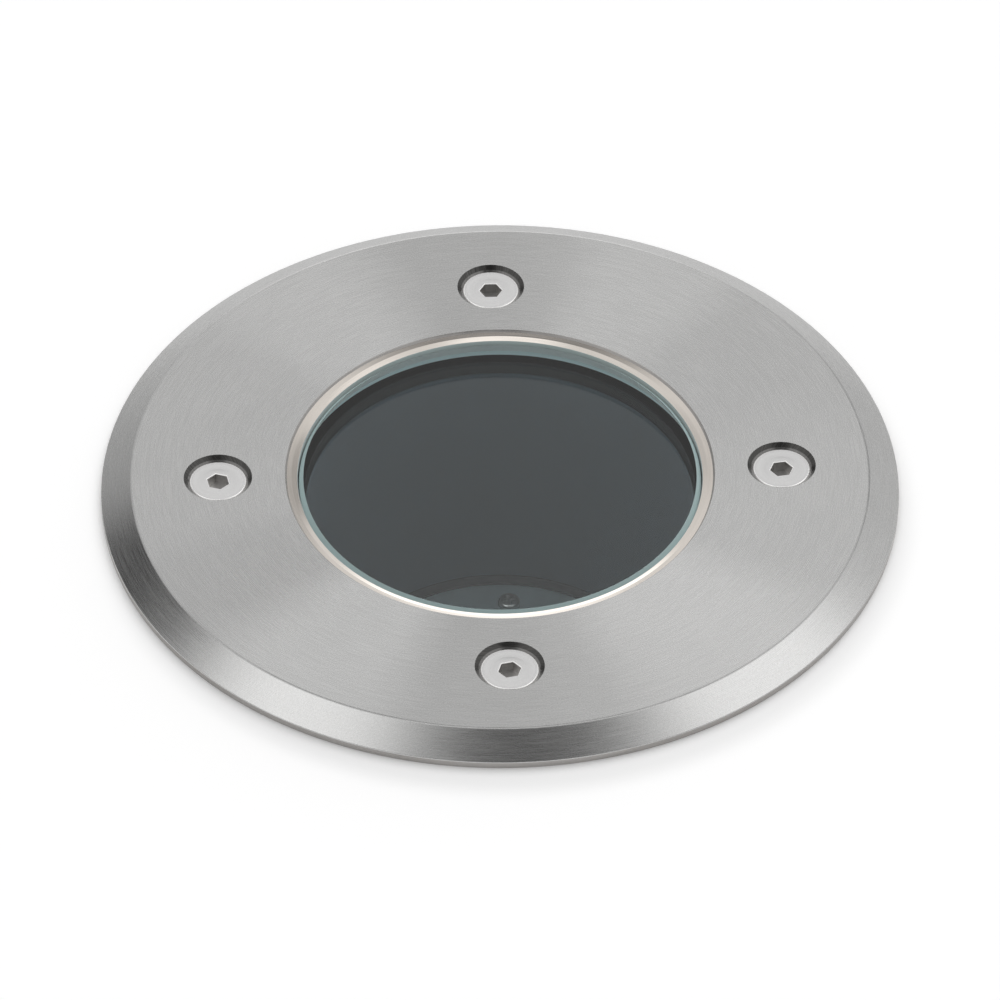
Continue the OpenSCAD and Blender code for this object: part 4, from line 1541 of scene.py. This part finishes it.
    def bosses(self) -> Mesh:
        """One trim screw's boss with its gusset, repeated at the four screws.

        Returns:
            The mesh of all bosses.
        """
        sunk, root = 1.0 - self.collar_t, self.body_r - 2.0
        half, rise = self.gusset
        boss = as_object("boss", moved(lathe([
            (0.0, self.boss_z), (self.boss_r - 0.2, self.boss_z, 1.2),
            (self.boss_r, sunk), (0.0, sunk)], FACETS), (self.screw_at, 0.0, 0.0)),
            FINISHES.cast)
        gusset = soften(stand(prism([
            (root, sunk), (self.screw_at, sunk), (self.screw_at, self.boss_z + 0.6),
            (root, self.boss_z - rise)], -half, half), "Y"), 0.6)
        carve(boss, gusset, FINISHES.cast, how=Join.ADD)
        even_turns_tree().apply(boss, FINISHES.cast, Count=TRIM_SCREWS, First_turn=0.0)
        return taken(boss)

    def bores(self) -> Mesh:
        """The bores of inserts and screw seals, as one form to cut.

        Returns:
            The mesh.
        """
        bore_r, bore_z = self.insert
        pocket_r, pocket_t = self.pocket
        return set_round([
            (0.0, bore_z), (bore_r, bore_z), (bore_r, -pocket_t), (pocket_r, -pocket_t),
            (pocket_r, -0.3), (pocket_r + 0.6, 0.3), (0.0, 0.3)], self.screw_at, TRIM_SCREWS)

    def build(self) -> None:
        """Casts the pot with fins and bosses, machines it and dresses it."""
        pot = as_object("dressed_housing", lathe(self.profile(), 384),
                        FINISHES.cast, FINISHES.machined)
        carve(pot, self.fins(), FINISHES.cast, how=Join.ADD)
        carve(pot, self.bosses(), FINISHES.cast, how=Join.ADD)
        carve(pot, self.bores(), FINISHES.machined)
        earth_x, earth_r = self.earth
        low, high = self.floor_z - 1.0, self.floor_z + 5.0
        earth = moved(lathe([
            (0.0, low), (earth_r, low), (earth_r - 0.2, high, 0.3, 1), (0.0, high)], 64),
            (earth_x, 0.0, 0.0))
        carve(pot, earth, FINISHES.cast, FINISHES.machined, how=Join.ADD)
        finish_piece(pot, "unit", "cast_housing", "housing")


@dataclass
class CableGland:
    """The cable gland's flange with its neck, its cap nut and its seal.

    Attributes:
        corner_r: Distance of the hexagons' corners from the axis.
        thread_r: Radius of the threaded neck.
        bore_r: Radius of the cable's way.
        seal_r: Radius of the seal.
        cable_r: Inner radius of the seal.
        flange: Lowest and highest height of the flange.
        dome_h: Height of the cap nut's rounded end.
        seat: Heights over the cap nut's lower face between which the seal sits.
        fit: Gap round the seal and in the thread.
    """

    corner_r: float = 11.547
    thread_r: float = 7.9
    bore_r: float = 4.7
    seal_r: float = 6.4
    cable_r: float = 4.0
    flange: tuple[float, float] = (-106.3, -100.8)
    dome_h: float = 5.0
    seat: tuple[float, float] = (2.6, 5.6)
    fit: float = 0.05

    def hexagon(self, name: str, low: float, high: float, crown: float) -> Object:
        """Makes a hexagon with turned corners.

        Args:
            name: The object's name.
            low: Height of its lower face.
            high: Height of its upper face.
            crown: How far the corners are turned off at the lower face.

        Returns:
            The object.
        """
        made = as_object(name, prism(polygon(self.corner_r, 6), low, high), FINISHES.black)
        flat_r = self.corner_r * HEX_SHARE
        blank = lathe([
            (0.0, low), (flat_r - 0.2, low, 0.1),
            (self.corner_r + 0.05, low + crown), (self.corner_r + 0.05, high - 0.7),
            (flat_r - 0.1, high), (0.0, high)], FACETS)
        carve(made, blank, FINISHES.black, how=Join.KEEP)
        return made

    def build(self) -> None:
        """Makes the three pieces."""
        body, nut, seal = (Extent.of(n) for n in ("gland_body", "gland_nut", "gland_seal"))
        pocket_r, pocket_z = self.seal_r + self.fit, seal.top + self.fit
        flange = self.hexagon("dressed_gland_body", *self.flange, 0.8)
        neck = lathe([
            (pocket_r, body.base), (self.thread_r, body.base, 0.3),
            (self.thread_r, body.top, 0.3), (self.bore_r, body.top, 0.2),
            (self.bore_r, pocket_z), (pocket_r, pocket_z)], FACETS)
        bore = drum(self.thread_r - 1.0, self.flange[0] - 1.0, self.flange[1] + 1.0)
        carve(flange, bore, FINISHES.black)
        carve(flange, neck, FINISHES.black, how=Join.ADD)
        finish_piece(flange, "unit", "black_plastic", "gland_body")
        self.cap(nut, pocket_r)
        ring = as_object("dressed_gland_seal", lathe([
            (self.cable_r, seal.base, 0.5), (self.seal_r, seal.base, 0.3),
            (self.seal_r, seal.top, 0.2), (self.cable_r, seal.top, 0.5)], FACETS),
            FINISHES.rubber)
        finish_piece(ring, "unit", "gasket_rubber", "gland_seal")

    def cap(self, nut: Extent, pocket_r: float) -> None:
        """Makes the cap nut.

        Args:
            nut: The packed nut's extent.
            pocket_r: Radius of the seal's pocket.
        """
        flat_r = self.corner_r * HEX_SHARE
        dome_z = nut.base + self.dome_h
        cap = self.hexagon("dressed_gland_nut", dome_z - 0.6, nut.top, 0.9)
        dome = lathe([
            (0.0, nut.base), (flat_r - 3.0, nut.base, 1.0),
            (flat_r - 0.6, dome_z - 1.2, 2.0), (flat_r - 0.6, dome_z + 1.0),
            (0.0, dome_z + 1.0)], FACETS)
        carve(cap, dome, FINISHES.black, how=Join.ADD)
        low, high = (nut.base + z for z in self.seat)
        thread_r = self.thread_r + self.fit
        way = lathe([
            (0.0, nut.base - 1.0), (self.bore_r + 0.4, nut.base - 1.0),
            (self.bore_r, nut.base + 0.5), (self.bore_r, low), (pocket_r, low),
            (pocket_r, high), (thread_r, high), (thread_r, nut.top + 1.0),
            (0.0, nut.top + 1.0)], FACETS)
        carve(cap, way, FINISHES.black)
        finish_piece(cap, "unit", "black_plastic", "gland_nut")


@dataclass
class MountingSleeve:
    """The ribbed plastic sleeve that stays in the ground.

    Attributes:
        inner_r: Inner radius of the rim.
        ledge_r: Inner radius of the ledge that carries the light.
        lower_r: Outer radius under the ledge.
        taper: How much the wall draws in towards the foot.
        ledge_z: Height of the ledge.
        ledge_t: Thickness of the ledge, and of the foot.
        foot_r: Inner radius of the foot.
        rib_count: Number of outer ribs.
        rib_r: Distance of their outer edge from the axis.
        rib_t: Thickness of a rib.
        rib_root: How far a rib reaches into the wall.
        rib_rise: Height of the slope at a rib's foot.
        arch: Width and height of the cable arches.
        crown_r: Radius of the arches' top.
        extent: How far the packed sleeve reaches.
    """

    inner_r: float = 67.0
    ledge_r: float = 63.6
    lower_r: float = 66.6
    taper: float = 1.5
    ledge_z: float = -14.0
    ledge_t: float = 3.0
    foot_r: float = 50.0
    rib_count: int = 8
    rib_r: float = 69.5
    rib_t: float = 3.0
    rib_root: float = 1.6
    rib_rise: float = 6.0
    arch: tuple[float, float] = (26.0, 26.0)
    crown_r: float = 19.5
    extent: Extent = field(default_factory=lambda: Extent.of("mounting_sleeve"))

    def profile(self) -> Profile:
        """Section of rim, ledge, wall and foot.

        Returns:
            The corners.
        """
        base, under = self.extent.base, self.ledge_z - self.ledge_t
        rim_r = self.extent.radius
        return [
            (self.inner_r, 0.0, 0.6), (rim_r, 0.0, 0.8),
            (rim_r, under, 0.8), (self.lower_r, under, 1.2),
            (self.lower_r - self.taper, base, 0.8), (self.foot_r, base, 0.6),
            (self.foot_r, base + self.ledge_t, 0.6),
            (self.ledge_r - self.taper, base + self.ledge_t, 1.8),
            (self.ledge_r, under, 3.0), (self.ledge_r, self.ledge_z, 0.4),
            (self.inner_r, self.ledge_z, 1.0)]

    def ribs(self) -> Mesh:
        """One rib with rounded edges, repeated round the wall.

        Returns:
            The mesh of all ribs.
        """
        base, foot = self.extent.base, self.lower_r - self.taper
        root, low, high = foot - self.rib_root, base + 0.01, self.ledge_z - 1.5
        rib = as_object("rib", soften(stand(prism([
            (root, low), (foot + 0.2, low), (self.rib_r, base + self.rib_rise),
            (self.rib_r, high), (root, high)],
            -self.rib_t / 2, self.rib_t / 2), "Y"), 0.55), FINISHES.sleeve)
        even_turns_tree().apply(
            rib, FINISHES.sleeve, Count=self.rib_count, First_turn=math.pi / self.rib_count)
        return taken(rib)

    def arches(self) -> Mesh:
        """The way through both sides of the foot, as a form to cut.

        Returns:
            The mesh.
        """
        width, height = self.arch
        base, half = self.extent.base, width / 2
        middle = base + height - self.crown_r
        spring = math.degrees(math.acos(half / self.crown_r))
        crown = arc((0.0, middle), self.crown_r, spring, 180 - spring, 24)
        reach = self.extent.radius + 1.0
        return stand(prism(
            [(-half, base - 1.0), (half, base - 1.0), *crown], -reach, reach), "X")

    def build(self) -> None:
        """Moulds the sleeve with its ribs and arches."""
        sleeve = as_object("dressed_sleeve", lathe(self.profile(), 384), FINISHES.sleeve)
        carve(sleeve, self.ribs(), FINISHES.sleeve, how=Join.ADD)
        carve(sleeve, self.arches(), FINISHES.sleeve)
        finish_piece(sleeve, "sleeve", "sleeve_plastic", "mounting_sleeve")


# Studio


@dataclass(frozen=True)
class Softbox:
    """A bright or dark patch of the studio, as metal and glass see it.

    Attributes:
        toward: Direction of its middle.
        inner: Angle from its middle at which it starts to fade, in degrees.
        outer: Angle at which it has gone, in degrees.
        gain: What it adds to the plain level.
    """

    toward: tuple[float, float, float]
    inner: float
    outer: float
    gain: float


@dataclass(frozen=True)
class Shade:
    """A soft grey disc painted on the ground round the light, as its shadow in the studio.

    Attributes:
        middle: Its middle on the ground, in millimetres.
        inner: Radius at which it starts to fade.
        outer: Radius at which it ends.
        depth: How far it darkens the ground.
    """

    middle: tuple[float, float] = (1.0, -6.0)
    inner: float = 77.6
    outer: float = 83.8
    depth: float = 0.13


@dataclass
class Studio:
    """Pale ground, pale floor, soft light and the camera.

    Attributes:
        ground_r: Radius of the disc of ground round the light.
        hole_r: Radius of the hole in it.
        ground_t: Thickness of the disc.
        ground_glow: White that the ground adds for what looks at it.
        floor_r: Radius of the floor under everything.
        floor_t: Thickness of the floor.
        floor_glow: White that the floor adds.
        plain_level: Brightness of the light all round.
        overhead: The large softbox over the light, as matt surfaces see it.
        far_side: The low softbox behind it, whose light casts its soft shadow.
        mirror_level: Brightness of the studio where metal mirrors no softbox.
        softboxes: What the studio has else.
        shade: A painted soft shadow on the ground round the light.
        distance: Distance of the camera from the light.
        elevation: Its angle above the ground, in degrees.
        azimuth: Its angle round the light, in degrees.
        pixels_for_unit: Pixels that a millimetre takes in the middle of the picture.
        aim_drop: How far below the origin it looks, as a share of the distance.
    """

    ground_r: float = 192.0
    hole_r: float = 70.8
    ground_t: float = 1.0
    ground_glow: float = 0.14
    floor_r: float = 1600.0
    floor_t: float = 1.95
    floor_glow: float = 0.36
    plain_level: float = 0.46
    mirror_level: float = 0.70
    overhead: Softbox = Softbox((0.05, 0.45, 0.89), 15, 50, 0.9)
    far_side: Softbox = Softbox((0.42, 0.76, 0.38), 12, 40, 1.6)
    softboxes: tuple[Softbox, ...] = (
        Softbox((0.59, 0.08, 0.80), 10, 24, 0.74),
        Softbox((-0.47, -0.03, 0.88), 7, 21, 0.78),
        Softbox((0.06, -0.24, 0.97), 7, 22, -0.60),
        Softbox((0.0, -0.70, 0.71), 10, 30, -0.50),
        Softbox((-0.665, 0.46, 0.59), 8, 20, -0.62),
        Softbox((-0.62, 0.72, 0.30), 8, 24, -0.18),
        Softbox((0.38, 0.74, 0.55), 5, 15, -0.35),
        Softbox((0.0, 1.0, 0.16), 8, 17, 0.75),
        Softbox((0.0, 0.42, 0.907), 6, 16, -0.46),
        Softbox((-0.30, 0.70, 0.63), 4, 10, -0.16),
        Softbox((0.0, 0.25, 0.968), 4, 11, 0.5),
        Softbox((0.0, -1.0, 0.10), 20, 36, 0.30),
        Softbox((0.0, 0.0, -1.0), 50, 84, 0.28),
    )
    shade: Shade = Shade()
    distance: float = 1600.0
    elevation: float = 42.36
    azimuth: float = -1.93
    pixels_for_unit: float = 4.981
    aim_drop: float = 0.00131

    def build(self) -> None:
        """Sets up ground, floor, world, view and camera."""
        self.floors()
        self.world()
        self.camera()
        bpy.context.scene.view_settings.view_transform = "Standard"

    def floors(self) -> None:
        """Makes the disc of ground round the light and the floor under it."""
        level = -GROUND_DROP
        ground = as_object("studio_ground", lathe([
            (self.hole_r, level - self.ground_t), (self.ground_r, level - self.ground_t),
            (self.ground_r, level), (self.hole_r, level)], 240))
        ground.data.materials.append(
            self.pale("studio_ground_white", self.ground_glow, self.shade))
        level = Extent.of("mounting_sleeve").base - 0.05
        floor = as_object("studio_floor", drum(self.floor_r, level - self.floor_t, level))
        floor.data.materials.append(self.pale("studio_floor_white", self.floor_glow))

    @staticmethod
    def pale(name: str, glow: float, shade: Shade | None = None) -> bpy.types.Material:
        """Makes a white ground that keeps shadows.

        Args:
            name: The material's name.
            glow: White that it adds for what looks at it.
            shade: A painted soft shadow on it, if it has one.

        Returns:
            The material.
        """
        made = bpy.data.materials.new(name)
        made.use_nodes = True
        sheet = NodeSheet(made.node_tree)
        shader = sheet.add("ShaderNodeBsdfPrincipled", {
            "Base Color": (*PALE, 1.0), "Roughness": 0.9, "Specular IOR Level": 0.1,
            "Emission Color": WHITE})
        rays = sheet.add("ShaderNodeLightPath")
        seen = sheet.maths("ADD", rays.outputs["Is Camera Ray"], rays.outputs["Is Glossy Ray"])
        seen = sheet.maths("ADD", seen, rays.outputs["Is Transmission Ray"], clamp=True)
        # Painted shadow: a soft grey ring darkens colour and glow round the light.
        if shade is not None:
            place = sheet.add("ShaderNodeTexCoord").outputs["Object"]
            away = sheet.vector("DISTANCE", {
                0: place, 1: Vector((*shade.middle, 0.0)) * MM}).outputs["Value"]
            left = sheet.spread(away, 1.0 - shade.depth, 1.0, (
                shade.inner * MM, shade.outer * MM))
            tone = sheet.vector("SCALE", {0: PALE, "Scale": left})
            sheet.feed(shader, {"Base Color": tone.outputs[0]})
            seen = sheet.maths("MULTIPLY", seen, left)
        sheet.feed(shader, {"Emission Strength": sheet.maths("MULTIPLY", seen, glow)})
        sheet.add("ShaderNodeOutputMaterial", {"Surface": shader.outputs[0]})
        return made

    def world(self) -> None:
        """Lights the light evenly, and shows metal and glass the studio's softboxes."""
        world = bpy.data.worlds.new("studio")
        world.use_nodes = True
        bpy.context.scene.world = world
        sheet = NodeSheet(world.node_tree)
        toward = sheet.add("ShaderNodeTexCoord").outputs["Generated"]
        level: Any = self.mirror_level
        for box in self.softboxes:
            level = sheet.maths("ADD", level, self.patch(sheet, toward, box))
        plain = sheet.maths("ADD", self.patch(sheet, toward, self.overhead), self.plain_level)
        plain = sheet.maths("ADD", self.patch(sheet, toward, self.far_side), plain)
        rays = sheet.add("ShaderNodeLightPath")
        mirrors = sheet.maths(
            "ADD", rays.outputs["Is Glossy Ray"], rays.outputs["Is Transmission Ray"], clamp=True)
        lit = sheet.add("ShaderNodeMix", {0: mirrors, 2: plain, 3: level})
        seen = sheet.add("ShaderNodeMix", {
            0: rays.outputs["Is Camera Ray"], 2: lit.outputs[0], 3: 1.0})
        glow = sheet.add("ShaderNodeBackground", {"Color": WHITE, "Strength": seen.outputs[0]})
        sheet.add("ShaderNodeOutputWorld", {"Surface": glow.outputs[0]})

    @staticmethod
    def patch(sheet: NodeSheet, toward: Any, box: Softbox) -> Any:
        """Adds one softbox to the world.

        Args:
            sheet: The world's nodes.
            toward: Socket of the direction looked in.
            box: The softbox.

        Returns:
            Socket of what it adds in that direction.
        """
        middle = Vector(box.toward).normalized()
        near = sheet.vector("DOT_PRODUCT", {0: toward, 1: middle}).outputs["Value"]
        ends = (math.cos(math.radians(box.outer)), math.cos(math.radians(box.inner)))
        return sheet.spread(near, 0.0, box.gain, ends)

    def camera(self) -> None:
        """Places the camera at the photograph's angle."""
        data = bpy.data.cameras.new("photo_camera")
        data.sensor_width = 36.0
        data.lens = self.pixels_for_unit * self.distance / 1000 * data.sensor_width
        up, around = math.radians(self.elevation), math.radians(self.azimuth)
        back = Vector((math.cos(up) * math.sin(around), -math.cos(up) * math.cos(around),
                       math.sin(up)))
        made = bpy.data.objects.new("photo_camera", data)
        bpy.context.scene.collection.objects.link(made)
        made.location = back * self.distance * MM
        across = Vector((0, 0, 1)).cross(back).normalized()
        overhead = back.cross(across)
        aim = -overhead * self.distance * MM * self.aim_drop
        look = made.location - aim
        made.rotation_mode = "QUATERNION"
        made.rotation_quaternion = look.to_track_quat("Z", "Y")
        data.clip_start, data.clip_end = 0.05, 20.0
        bpy.context.scene.camera = made


# The whole light


def dress_solids() -> None:
    """Gives each packed part that still shows the finish of its slot."""
    for part in frame["record"]["subparts"]:
        finish = FINISHES.for_slot(part["material_slot"])
        solid = frame["nodes"][part["node"]]
        for slot in solid.material_slots:
            slot.material = finish.material()
        log.info("%s: %s", part["node"], finish.name)


def main() -> None:
    """Builds and dresses every piece, then the studio."""
    logging.basicConfig(level=logging.INFO, format="%(name)s %(message)s")
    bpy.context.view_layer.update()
    dress_solids()
    TrimRing().build()
    for side, turn in (("right", 8.0), ("back", 0.0), ("left", 41.0), ("front", 12.0)):
        TrimScrew(side, turn).build()
    for part in (Window, LampChamber, MountingPlate, Housing, CableGland, MountingSleeve,
                 Studio):
        part().build()


if __name__ == "__main__":
    main()
